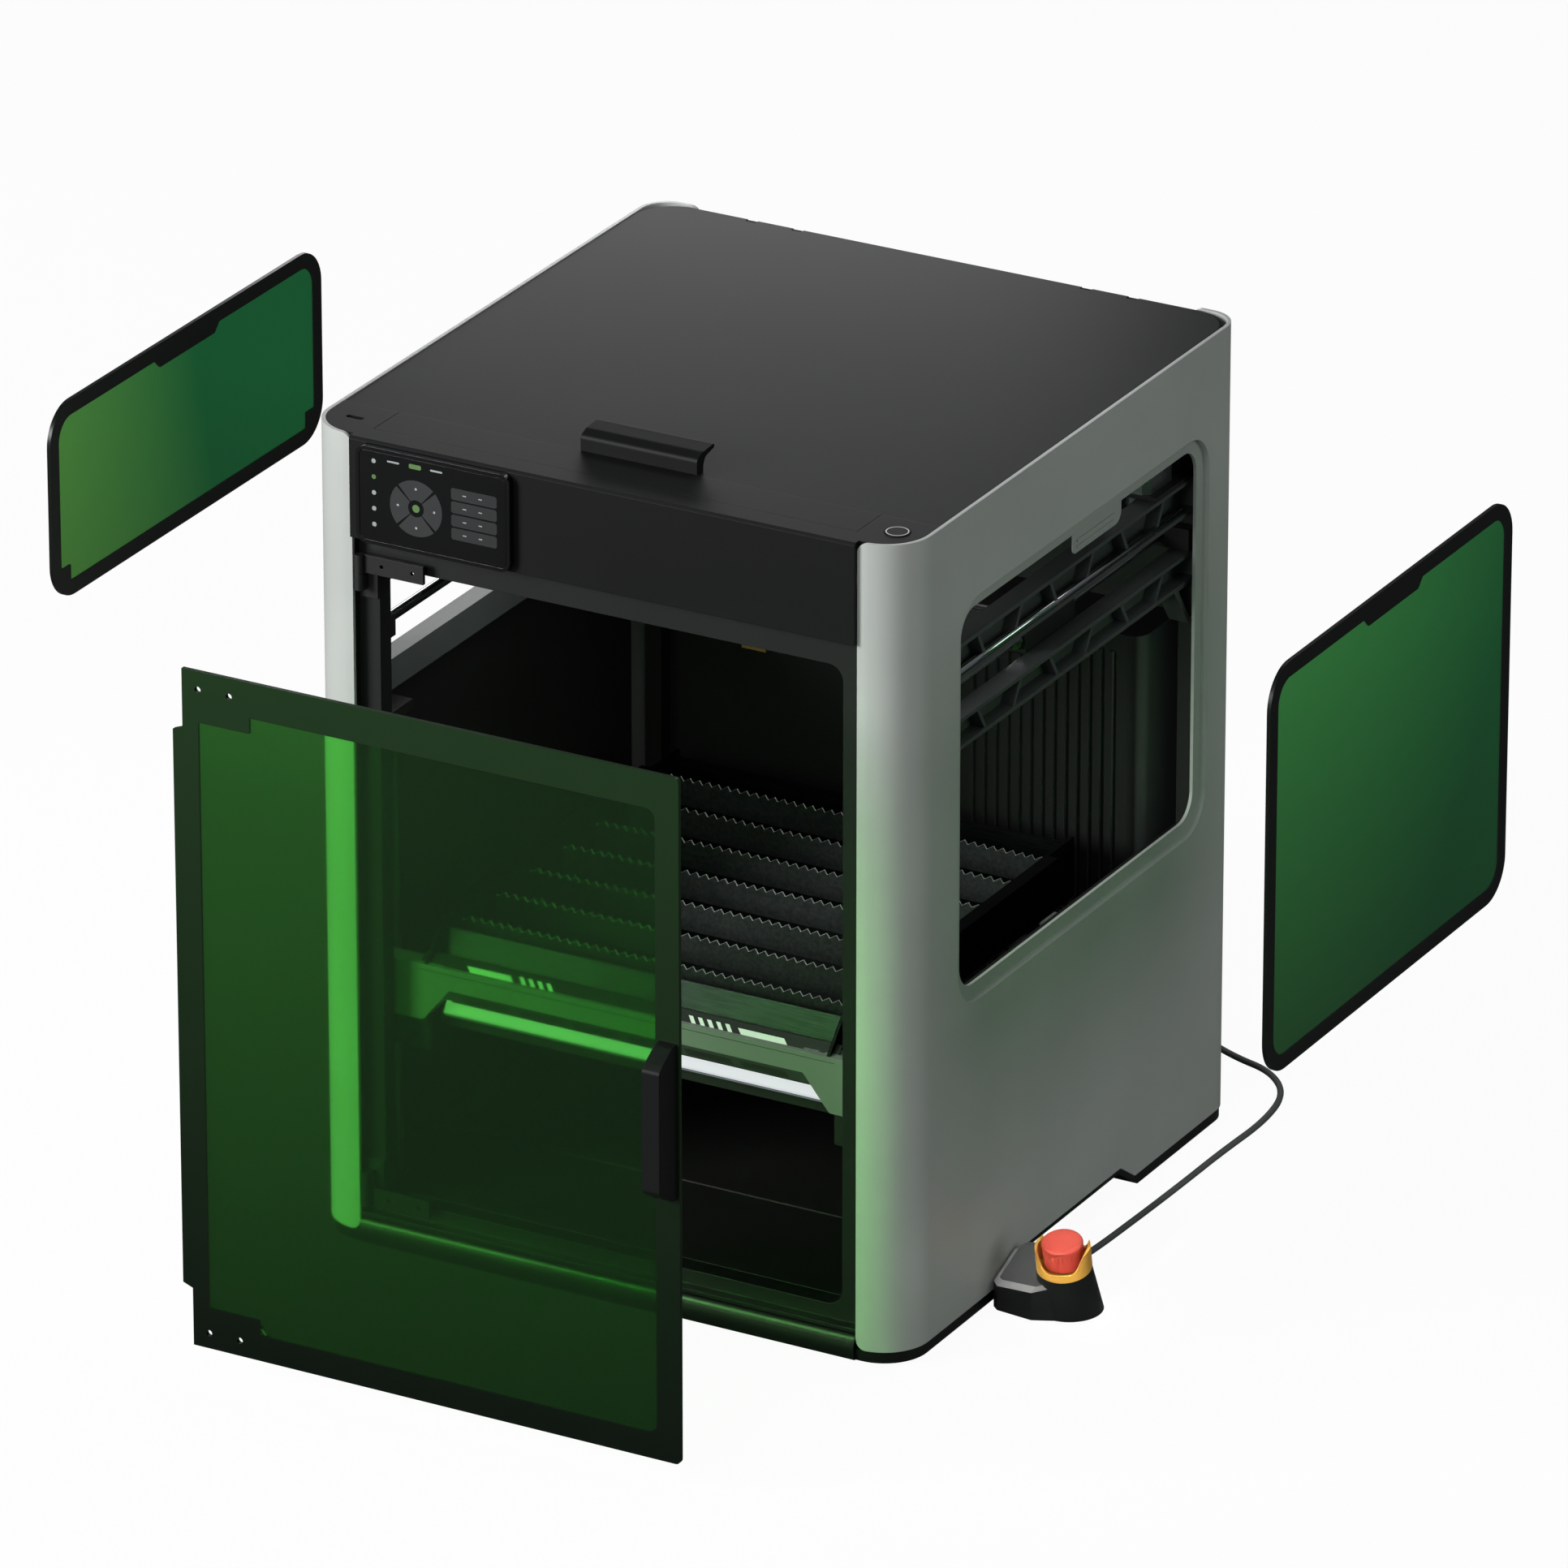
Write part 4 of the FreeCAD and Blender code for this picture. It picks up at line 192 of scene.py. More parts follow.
# Soft lights: place, the point each looks at, and width and height, in metres
LAMPS = {
    "key": ((-3.1, -4.0, 2.1), (0, 0, 0.3), (2.0, 2.0)),
    "front": ((0.4, -4.8, 2.3), (0.1, 0, 0.3), (1.6, 1.6)),
    "lid_light": ((-0.46, 0.7, 0.76), (-0.1, 0.0, 0.62), (0.7, 0.3)),
    "rim": ((-0.4, 2.6, 3.4), (0, 0.1, 0.6), (2.4, 0.8)),
    "fill": ((4.0, 0.2, 1.5), (0, 0, 0.3), (2.0, 2.0)),
    "stop_light": ((0.262, -0.1, 0.6), (0.305, -0.1, 0.04), (0.02, 0.02)),
    "stop_front_light": ((0.4, -1.5, 0.5), (0.312, -0.1, 0.04), (0.03, 0.03)),
    "back": ((0.9, 3.2, 4.2), (0.0, 0.25, 0.3), (2.0, 2.0)),
    "inner": ((0, -0.12, 0.57), (0, 0.0, 0.2), (0.3, 0.1)),
}

# Half the floor's side, and where its painted glow seen through the sheets starts and stops growing lighter
# towards the rear, in metres
FLOOR_HALF = 12
FLOOR_DEPTH = (-0.4, 1.2)

WHITE = (1.0, 1.0, 1.0, 1.0)


def linear(code):
    """Linear colour of an sRGB hex code."""
    parts = [int(code[i:i + 2], 16) / 255 for i in (1, 3, 5)]
    return tuple(c / 12.92 if c <= 0.04045 else ((c + 0.055) / 1.055) ** 2.4 for c in parts) + (1.0,)


class PrinterStudio(bpy.types.PropertyGroup):
    """Camera and the powers of the lights."""

    camera_at: FloatVectorProperty(
        name="Camera", description="Place of the camera", subtype="TRANSLATION", unit="LENGTH",
        default=(4.5657, -8.2160, 4.4361))
    camera_to: FloatVectorProperty(
        name="Aim", description="Direction the camera looks in", subtype="DIRECTION",
        default=(-0.44435, 0.80078, -0.40162))
    lens: FloatProperty(
        name="Lens", description="Focal length in millimetres", unit="CAMERA", default=322.55, min=1.0)
    key: FloatProperty(
        name="Key", description="Power of the soft light at the front left",
        unit="POWER", default=310.0, min=0.0)
    front: FloatProperty(
        name="Front", description="Power of the soft light at the front",
        unit="POWER", default=60.0, min=0.0)
    lid: FloatProperty(
        name="Lid", description="Power of the soft light that the lid mirrors",
        unit="POWER", default=2.4, min=0.0)
    rim: FloatProperty(
        name="Rim", description="Power of the light above the rear edges",
        unit="POWER", default=5.0, min=0.0)
    fill: FloatProperty(
        name="Fill", description="Power of the weak light at the right",
        unit="POWER", default=29.0, min=0.0)
    stop: FloatProperty(
        name="Stop", description="Power of the narrow light over the stop box, a third of the one before it",
        unit="POWER", default=0.009, min=0.0)
    back: FloatProperty(
        name="Back", description="Power of the soft light behind", unit="POWER", default=25.0, min=0.0)
    inner: FloatProperty(
        name="Inner", description="Power of the weak light in the chamber",
        unit="POWER", default=0.5, min=0.0)


class PrinterLooks(bpy.types.PropertyGroup):
    """Sizes of the cord and the printed border, and the colours of the main finishes."""

    cord_width: FloatProperty(name="Cord", description="Diameter of the cord", unit="LENGTH", default=5 * MM)
    border: FloatProperty(
        name="Border", description="Width of the printed window border", unit="LENGTH", default=12 * MM)
    panel_dark: FloatVectorProperty(
        name="Panels, dark", description="Darker tone of the side panels", subtype="COLOR", size=4,
        default=linear("#B4B7B4"))
    panel_light: FloatVectorProperty(
        name="Panels, light", description="Lighter tone of the side panels", subtype="COLOR", size=4,
        default=linear("#BABDBA"))
    lid_dark: FloatVectorProperty(
        name="Lid, dark", description="Darker tone of the lid", subtype="COLOR", size=4,
        default=linear("#141615"))
    lid_light: FloatVectorProperty(
        name="Lid, light", description="Lighter tone of the lid", subtype="COLOR", size=4,
        default=linear("#171918"))
    collar_dark: FloatVectorProperty(
        name="Collar, dark", description="Darker tone of the stop's guard collar",
        subtype="COLOR", size=4,
        default=linear("#F0AC42"))
    collar_light: FloatVectorProperty(
        name="Collar, light", description="Lighter tone of the stop's guard collar",
        subtype="COLOR", size=4,
        default=linear("#F6B650"))
    cap_dark: FloatVectorProperty(
        name="Cap, dark", description="Darker tone of the stop's cap", subtype="COLOR", size=4,
        default=linear("#CE4436"))
    cap_light: FloatVectorProperty(
        name="Cap, light", description="Lighter tone of the stop's cap", subtype="COLOR", size=4,
        default=linear("#D64F41"))
    # Each sheet's two greens are the ends of a painted light, standing in for the light seen through it.
    door_bright: FloatVectorProperty(
        name="Door, bright", description="Brighter green of the door", subtype="COLOR", size=4,
        default=linear("#62E054"))
    door_deep: FloatVectorProperty(
        name="Door, deep", description="Deeper green of the door", subtype="COLOR", size=4,
        default=linear("#52C450"))
    right_bright: FloatVectorProperty(
        name="Right window, bright", description="Brighter green of the right window",
        subtype="COLOR", size=4, default=linear("#5CD86C"))
    right_deep: FloatVectorProperty(
        name="Right window, deep", description="Deeper green of the right window",
        subtype="COLOR", size=4,
        default=linear("#228A4A"))
    left_bright: FloatVectorProperty(
        name="Left window, bright", description="Brighter green of the left window",
        subtype="COLOR", size=4,
        default=linear("#94FF76"))
    left_deep: FloatVectorProperty(
        name="Left window, deep", description="Deeper green of the left window",
        subtype="COLOR", size=4,
        default=linear("#1E9C54"))


def studio():
    """Camera and lights as they are set."""
    return bpy.context.scene.printer_studio


def looks():
    """Sizes and colours as they are set."""
    return bpy.context.scene.printer_looks


def node(tree, kind, inputs=None, stops=(), **settings):
    """Add a shader node and return its outputs: an input is a value or a socket, and stops colour a ramp."""
    made = tree.nodes.new("ShaderNode" + kind)
    for key, value in settings.items():
        setattr(made, key, value)
    for key, value in (inputs or {}).items():
        if isinstance(value, bpy.types.NodeSocket):
            tree.links.new(value, made.inputs[key])
        else:
            made.inputs[key].default_value = value
    if stops:
        elements = made.color_ramp.elements
        for _ in stops[2:]:
            elements.new(0.5)
        for element, (position, colour) in zip(elements, stops):
            element.position = position
            element.color = colour
    return made.outputs


def fresh(name):
    """Empty material and its node tree."""
    material = bpy.data.materials.new(name)
    material.use_nodes = True
    material.node_tree.nodes.clear()
    return material, material.node_tree


def coated(name, low, high, rough, grit, depth, edge=0.0, metallic=0.0, shine=0.5):
    """Surface of two close colours in broad patches, with a fine grit in its height and gloss."""
    material, tree = fresh(name)
    spot = node(tree, "TexCoord")["Object"]
    patches = node(tree, "TexNoise", {"Vector": spot, "Scale": 1 / PATCH, "Detail": 2.0})["Fac"]
    tone = node(tree, "ValToRGB", {"Fac": patches}, ((BLEND[0], low), (BLEND[1], high)))["Color"]
    fine = node(tree, "TexNoise", {"Vector": spot, "Scale": 1 / grit, "Detail": 3.0})["Fac"]
    ends = {"To Min": rough - SWING, "To Max": rough + SWING}
    gloss = node(tree, "MapRange", {"Value": fine, **ends})["Result"]
    relief = {"Height": fine, "Strength": 0.5, "Distance": depth}
    if edge > 0:
        relief["Normal"] = node(tree, "Bevel", {"Radius": edge}, samples=4)["Normal"]
    normal = node(tree, "Bump", relief)["Normal"]
    shader = node(tree, "BsdfPrincipled", {"Base Color": tone, "Roughness": gloss, "Normal": normal,
                                           "Metallic": metallic, "Specular IOR Level": shine})
    node(tree, "OutputMaterial", {"Surface": shader["BSDF"]})
    return material


def silver_paint():
    """Silver-grey powder paint: even and satin, with its grit drawn coarser than the real one to show."""
    return coated("silver_powder_paint", looks().panel_dark, looks().panel_light, rough=0.42,
                  grit=PAINT_GRIT, depth=PAINT_DEPTH, edge=0.8 * MM, metallic=0.1)


def frame_paint():
    """Silver-grey powder paint of the window recesses: duller, and painted a shade darker than the panels as
    painted shade.
    """
    return coated("dull_powder_paint", linear("#A4A7A4"), linear("#AAADAA"), rough=0.6, grit=PAINT_GRIT,
                  depth=PAINT_DEPTH)


def rear_paint():
    """Dark grey powder paint on the rear sheet: dull and even."""
    return coated("dark_powder_paint", linear("#262928"), linear("#2D302F"), rough=0.5, grit=PAINT_GRIT,
                  depth=PAINT_DEPTH, edge=0.5 * MM)


def lid_paint():
    """Dark satin paint on the lid: broad soft reflections of the studio."""
    return coated("dark_satin_paint", looks().lid_dark, looks().lid_light, rough=0.52, grit=0.5 * MM,
                  depth=0.015 * MM, edge=0.6 * MM, shine=0.12)


def chamber_paint():
    """Matt black paint inside the chamber: it swallows nearly all light."""
    return coated("matt_black_paint", linear("#0D0D0C"), linear("#111110"), rough=0.5, grit=0.8 * MM,
                  depth=PAINT_DEPTH, edge=0.5 * MM)


def display_glass():
    """Black display under float glass: clear reflections, faintly waved, on a nearly black face."""
    return coated("display_glass", linear("#050606"), linear("#070808"), rough=0.12, grit=60 * MM,
                  depth=0.001 * MM, edge=0.3 * MM)


def moulding(name, low, high, rough, edge=0.6 * MM, shine=0.5):
    """Moulded plastic: soft edges and a faint spark-eroded grit, drawn coarser than the real one to show."""
    return coated(name, linear(low), linear(high), rough, MOULD_GRIT, MOULD_DEPTH, edge=edge, shine=shine)


def collar_moulding():
    """Moulded yellow polyamide of the guard collar: a warm, evenly soft shine."""
    return coated("yellow_polyamide", looks().collar_dark, looks().collar_light, rough=0.4, grit=MOULD_GRIT,
                  depth=MOULD_DEPTH, edge=0.5 * MM)


def cap_moulding():
    """Moulded red polyamide of the stop's cap: a soft shine on the dome."""
    return coated("red_polyamide", looks().cap_dark, looks().cap_light, rough=0.38, grit=MOULD_GRIT,
                  depth=MOULD_DEPTH, edge=0.4 * MM)


def rubber(name, low, high):
    """Dull rubber with a slightly uneven skin."""
    return coated(name, linear(low), linear(high), rough=0.75, grit=1.5 * MM, depth=0.05 * MM)


def metal(name, low, high, rough, scale=(1.0, 1.0, 1.0)):
    """Bare metal with fine lines, drawn out along the axis whose scale is smallest."""
    material, tree = fresh(name)
    spot = node(tree, "TexCoord")["Object"]
    drawn = node(tree, "Mapping", {"Vector": spot, "Scale": scale})["Vector"]
    lines = node(tree, "TexNoise", {"Vector": drawn, "Scale": 1 / METAL_LINE, "Detail": 2.0})["Fac"]
    stops = ((BLEND[0], linear(low)), (BLEND[1], linear(high)))
    tone = node(tree, "ValToRGB", {"Fac": lines}, stops)["Color"]
    ends = {"To Min": rough - METAL_SWING, "To Max": rough + METAL_SWING}
    gloss = node(tree, "MapRange", {"Value": lines, **ends})["Result"]
    normal = node(tree, "Bump", {"Height": lines, "Strength": 0.25, "Distance": METAL_DEPTH})["Normal"]
    shader = node(tree, "BsdfPrincipled", {"Base Color": tone, "Roughness": gloss, "Normal": normal,
                                           "Metallic": 1.0})
    node(tree, "OutputMaterial", {"Surface": shader["BSDF"]})
    return material


def rim_ink(tree, spot, centre, half, radius, width):
    """Ink in a band along the inside of a rounded rectangle's edge, and everywhere outside it."""
    offset = node(tree, "VectorMath", {0: spot, 1: centre}, operation="SUBTRACT")["Vector"]
    apart = node(tree, "VectorMath", {0: offset}, operation="ABSOLUTE")["Vector"]
    core = [side - radius for side in half]
    past = node(tree, "VectorMath", {0: apart, 1: core}, operation="SUBTRACT")["Vector"]
    outward = node(tree, "VectorMath", {0: past, 1: (0.0, 0.0, 0.0)}, operation="MAXIMUM")["Vector"]
    distance = node(tree, "VectorMath", {0: outward}, operation="LENGTH")["Value"]
    return node(tree, "Math", {0: distance, 1: radius - width}, operation="GREATER_THAN")["Value"]


def tab_ink(tree, across, height, top):
    """Ink tab with sloped ends that hangs from a window's top edge."""
    below = node(tree, "Math", {0: top, 1: height}, operation="SUBTRACT")["Value"]
    shallow = node(tree, "Math", {0: below, 1: TAB_DEPTH}, operation="LESS_THAN")["Value"]
    reach = node(tree, "Math", {0: across, 1: below}, operation="ADD")["Value"]
    narrow = node(tree, "Math", {0: reach, 1: TAB_HALF}, operation="LESS_THAN")["Value"]
    return node(tree, "Math", {0: shallow, 1: narrow}, operation="MULTIPLY")["Value"]


def filter_sheet(name, ink, inks, greens, fade):
    """Laser-filter acrylic: clear, glossy and deep green, with opaque printed ink and a pale green shadow.

    The fade gives the axis that the green changes along, what a metre of height adds to it, and its ends;
    this change of green is painted light, standing in for the light seen through the sheet.
    """
    material, tree = fresh(name)
    spot = node(tree, "TexCoord")["Object"]
    axes = node(tree, "SeparateXYZ", {"Vector": spot})
    axis, lean, start, end = fade
    raised = node(tree, "Math", {0: axes["Z"], 1: lean}, operation="MULTIPLY")["Value"]
    along = node(tree, "Math", {0: axes[axis], 1: raised}, operation="ADD")["Value"]
    share = node(tree, "MapRange", {"Value": along, "From Min": start, "From Max": end})["Result"]
    # Painted light: the sheet's green runs from its brighter to its deeper tone along the fade.
    green = node(tree, "ValToRGB", {"Fac": share}, ((0.0, greens[0]), (1.0, greens[1])))["Color"]
    haze = node(tree, "TexNoise", {"Vector": spot, "Scale": 1 / HAZE, "Detail": 2.0})["Fac"]
    gloss = node(tree, "MapRange", {"Value": haze, "To Min": 0.02, "To Max": 0.05})["Result"]
    sheet = node(tree, "BsdfPrincipled", {"Base Color": green, "Roughness": gloss, "IOR": ACRYLIC_IOR,
                                          "Transmission Weight": 0.99})["BSDF"]
    ends = {"From Min": SHEET_RISE[0], "From Max": SHEET_RISE[1]}
    rise = node(tree, "MapRange", {"Value": axes["Z"], **ends})["Result"]
    cast_stops = ((0.35, linear("#BCD0B6")), (1.0, linear("#EAF2E6")))
    cast = node(tree, "ValToRGB", {"Fac": rise}, cast_stops)["Color"]
    through = node(tree, "BsdfTransparent", {"Color": cast})["BSDF"]
    shadow = node(tree, "LightPath")["Is Shadow Ray"]
    clear = node(tree, "MixShader", {0: shadow, 1: sheet, 2: through})["Shader"]
    ink_stops = ((0.0, linear(inks[0])), (1.0, linear(inks[1])))
    shade = node(tree, "ValToRGB", {"Fac": rise}, ink_stops)["Color"]
    satin = node(tree, "MapRange", {"Value": haze, "To Min": 0.3, "To Max": 0.37})["Result"]
    printed = node(tree, "BsdfPrincipled", {"Base Color": shade, "Roughness": satin,
                                            "Specular IOR Level": 0.25})["BSDF"]
    both = node(tree, "MixShader", {0: ink(tree, spot, axes), 1: clear, 2: printed})
    node(tree, "OutputMaterial", {"Surface": both["Shader"]})
    return material


def window_filter(name, greens, fade, square=0.0):
    """Filter sheet of a side window: ink along its outline, with a tab and any square lower corners."""
    low, high = (Vector(v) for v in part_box(name))
    centre = (low + high) / 2
    half = (high - low) / 2

    def ink(tree, spot, axes):
        rim = rim_ink(tree, spot, centre, (ANY_THICKNESS, half.y, half.z), WINDOW_RADIUS, looks().border)
        offset = node(tree, "Math", {0: axes["Y"], 1: centre.y}, operation="SUBTRACT")["Value"]
        across = node(tree, "Math", {0: offset}, operation="ABSOLUTE")["Value"]
        tab = tab_ink(tree, across, axes["Z"], high.z)
        beside = node(tree, "Math", {0: across, 1: half.y - square}, operation="GREATER_THAN")["Value"]
        under = node(tree, "Math", {0: axes["Z"], 1: low.z + square}, operation="LESS_THAN")["Value"]
        corner = node(tree, "Math", {0: beside, 1: under}, operation="MULTIPLY")["Value"]
        upper = node(tree, "Math", {0: rim, 1: tab}, operation="MAXIMUM")["Value"]
        return node(tree, "Math", {0: upper, 1: corner}, operation="MAXIMUM")["Value"]

    return filter_sheet(name + "_filter_acrylic", ink, WINDOW_INKS, greens, fade)


def right_filter():
    """Right window: its green deepens towards the rear and the floor, a painted shade standing in for the
    light seen through it.
    """
    greens = (looks().right_bright, looks().right_deep)
    return window_filter("right_window", greens, ("Y", -0.6, -0.48, -0.08))


def left_filter():
    """Left window: yellowish green in front and deep green behind, a change of green painted to stand in for
    the light seen through it.
    """
    greens = (looks().left_bright, looks().left_deep)
    return window_filter("left_window", greens, ("Y", 0.2, -0.08, 0.14), SQUARE_CORNER)


def door_filter():
    """Filter sheet of the door: dark ink outside its raised rim and in its two left corners."""
    low, high = (Vector(v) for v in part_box("door_panel"))
    low += DOOR_LOW_MARGIN
    high -= DOOR_HIGH_MARGIN
    centre = (low + high) / 2
    half = (high - low) / 2

    def ink(tree, spot, axes):
        rim = rim_ink(tree, spot, centre, (half.x, ANY_THICKNESS, half.z), DOOR_RADIUS, 0.0)
        side = low.x + DOOR_CORNER[0]
        beside = node(tree, "Math", {0: axes["X"], 1: side}, operation="LESS_THAN")["Value"]
        offset = node(tree, "Math", {0: axes["Z"], 1: centre.z}, operation="SUBTRACT")["Value"]
        apart = node(tree, "Math", {0: offset}, operation="ABSOLUTE")["Value"]
        reach = half.z - DOOR_CORNER[1]
        beyond = node(tree, "Math", {0: apart, 1: reach}, operation="GREATER_THAN")["Value"]
        corner = node(tree, "Math", {0: beside, 1: beyond}, operation="MULTIPLY")["Value"]
        return node(tree, "Math", {0: rim, 1: corner}, operation="MAXIMUM")["Value"]

    # Painted light: the door's green runs from brighter at the upper left to deeper at the lower right,
    # standing in for the light seen through it.
    greens = (looks().door_bright, looks().door_deep)
    return filter_sheet("door_filter_acrylic", ink, DOOR_INKS, greens, ("X", -0.3, -0.35, 0.2))


def marking(name, low, high, strength):
    """Ink or lit mark on a display or plate: an even tone that varies a little in patches."""
    material, tree = fresh(name)
    spot = node(tree, "TexCoord")["Object"]
    patches = node(tree, "TexNoise", {"Vector": spot, "Scale": 1 / MARK_PATCH, "Detail": 2.0})["Fac"]
    tone = node(tree, "ValToRGB", {"Fac": patches}, ((0.3, linear(low)), (0.7, linear(high))))["Color"]
    shader = node(tree, "BsdfPrincipled", {"Base Color": tone, "Roughness": 0.5, "Emission Color": tone,
                                           "Emission Strength": strength})
    node(tree, "OutputMaterial", {"Surface": shader["BSDF"]})
    return material


def bar_diffuser():
    """Frosted polycarbonate of the bed's light bar: lit white above, a dark groove and a dim lower edge."""
    material, tree = fresh("frosted_polycarbonate")
    spot = node(tree, "TexCoord")["Object"]
    height = node(tree, "SeparateXYZ", {"Vector": spot})["Z"]
    rise = node(tree, "MapRange", {"Value": height, "From Min": BAR_RISE[0], "From Max": BAR_RISE[1]})
    codes = ((0.0, "#6C7674"), (0.2, "#1C3A22"), (0.26, "#E2E0EA"), (0.9, "#EAE8F0"))
    stops = [(at, linear(code)) for at, code in codes]
    bands = node(tree, "ValToRGB", {"Fac": rise["Result"]}, stops)["Color"]
    bands.node.color_ramp.interpolation = "CONSTANT"
    shader = node(tree, "BsdfPrincipled", {"Base Color": linear("#2A2C2C"), "Roughness": 0.5,
                                           "Emission Color": bands, "Emission Strength": 0.85})
    node(tree, "OutputMaterial", {"Surface": shader["BSDF"]})
    return material


def painted_light_by_facing(name, axis, stops, rough):
    """Moulding whose colour goes with the way a face looks along one axis: light and shade painted by
    facing.
    """
    material, tree = fresh(name)
    normal = node(tree, "NewGeometry")["Normal"]
    facing = node(tree, "SeparateXYZ", {"Vector": normal})[axis]
    # Painted light: the tone follows the face's normal along the axis.
    tone = node(tree, "ValToRGB", {"Fac": facing}, [(at, linear(code)) for at, code in stops])["Color"]
    spot = node(tree, "TexCoord")["Object"]
    fine = node(tree, "TexNoise", {"Vector": spot, "Scale": 1 / MOULD_GRIT, "Detail": 3.0})["Fac"]
    ends = {"To Min": rough - SWING, "To Max": rough + SWING}
    gloss = node(tree, "MapRange", {"Value": fine, **ends})["Result"]
    shader = node(tree, "BsdfPrincipled", {"Base Color": tone, "Roughness": gloss,
                                           "Specular IOR Level": 0.4})
    node(tree, "OutputMaterial", {"Surface": shader["BSDF"]})
    return material


def stop_box_painted_light():
    """Moulded black ABS of the stop's box, its light painted by facing: lighter upward faces, a pale bevel
    as a painted highlight and dark walls.
    """
    # Painted light: the colour follows how far a face looks up, pale on the bevel as a painted highlight and
    # lighter on top.
    stops = ((0.4, "#121414"), (0.5, "#AAA8A9"), (0.85, "#AAA8A9"), (0.92, "#585959"))
    return painted_light_by_facing("stop_box_abs_painted_light", "Z", stops, 0.4)


def bay_painted_light():
    """Moulded ABS cover of the rear bay: black ribbed front, with its side painted a lighter grey as painted
    light.
    """
    # Painted light: faces that look to the right are painted a lighter grey.
    return painted_light_by_facing("rear_bay_abs_painted_light", "X", ((0.5, "#0A0C0B"), (0.95, "#626564")), 0.5)


def blade_steel():
    """Laser-cut dark steel: dull faces, and cut edges painted near white as a painted highlight."""
    material, tree = fresh("laser_cut_steel")
    normal = node(tree, "NewGeometry")["Normal"]
    facing = node(tree, "VectorMath", {0: normal}, operation="ABSOLUTE")["Vector"]
    front = node(tree, "SeparateXYZ", {"Vector": facing})["Y"]
    # Painted highlight: faces that look neither to the front nor the back, the cut edges, are painted near
    # white.
    edge = node(tree, "Math", {0: front, 1: 0.5}, operation="LESS_THAN")["Value"]
    spot = node(tree, "TexCoord")["Object"]
    fine = node(tree, "TexNoise", {"Vector": spot, "Scale": 1 / BLADE_GRAIN, "Detail": 2.0})["Fac"]
    dull_stops = ((BLEND[0], linear("#262929")), (BLEND[1], linear("#323535")))
    dull = node(tree, "ValToRGB", {"Fac": fine}, dull_stops)["Color"]
    # Sockets 6 and 7 of a colour mix are its two colours, and output 2 is the mixed one
    tone = node(tree, "Mix", {0: edge, 6: dull, 7: linear("#E6E8E6")}, data_type="RGBA")[2]
    gloss = node(tree, "MapRange", {"Value": fine, "To Min": 0.4, "To Max": 0.5})["Result"]
    shader = node(tree, "BsdfPrincipled", {"Base Color": tone, "Roughness": gloss, "Metallic": 0.6})
    node(tree, "OutputMaterial", {"Surface": shader["BSDF"]})
    return material


def floor_finish():
    """Pale studio floor: nearly white with a soft shadow; seen through the sheets it is painted light
    instead, a dim glow that grows lighter towards the rear.
    """
    material, tree = fresh("pale_floor")
    rays = node(tree, "LightPath")
    matt = node(tree, "BsdfDiffuse", {"Color": (0.85, 0.85, 0.85, 1.0)})["BSDF"]
    lit = node(tree, "Emission", {"Color": WHITE, "Strength": 1.0})["Emission"]
    pale = node(tree, "MixShader", {0: 0.95, 1: matt, 2: lit})["Shader"]
    spot = node(tree, "TexCoord")["Object"]
    back = node(tree, "SeparateXYZ", {"Vector": spot})["Y"]
    ends = {"From Min": FLOOR_DEPTH[0], "From Max": FLOOR_DEPTH[1]}
    depth = node(tree, "MapRange", {"Value": back, **ends})["Result"]
    stops = [(at, (grey, grey, grey, 1.0)) for at, grey in ((0.0, 0.02), (0.5, 0.085), (1.0, 0.25))]
    fade = node(tree, "ValToRGB", {"Fac": depth}, stops)["Color"]
    behind = node(tree, "Emission", {"Color": fade})["Emission"]
    grey = node(tree, "BsdfDiffuse", {"Color": (0.14, 0.14, 0.14, 1.0)})["BSDF"]
    hidden = node(tree, "MixShader", {0: rays["Is Transmission Ray"], 1: grey, 2: behind})["Shader"]
    both = node(tree, "MixShader", {0: rays["Is Camera Ray"], 1: hidden, 2: pale})["Shader"]
    node(tree, "OutputMaterial", {"Surface": both})
    return material


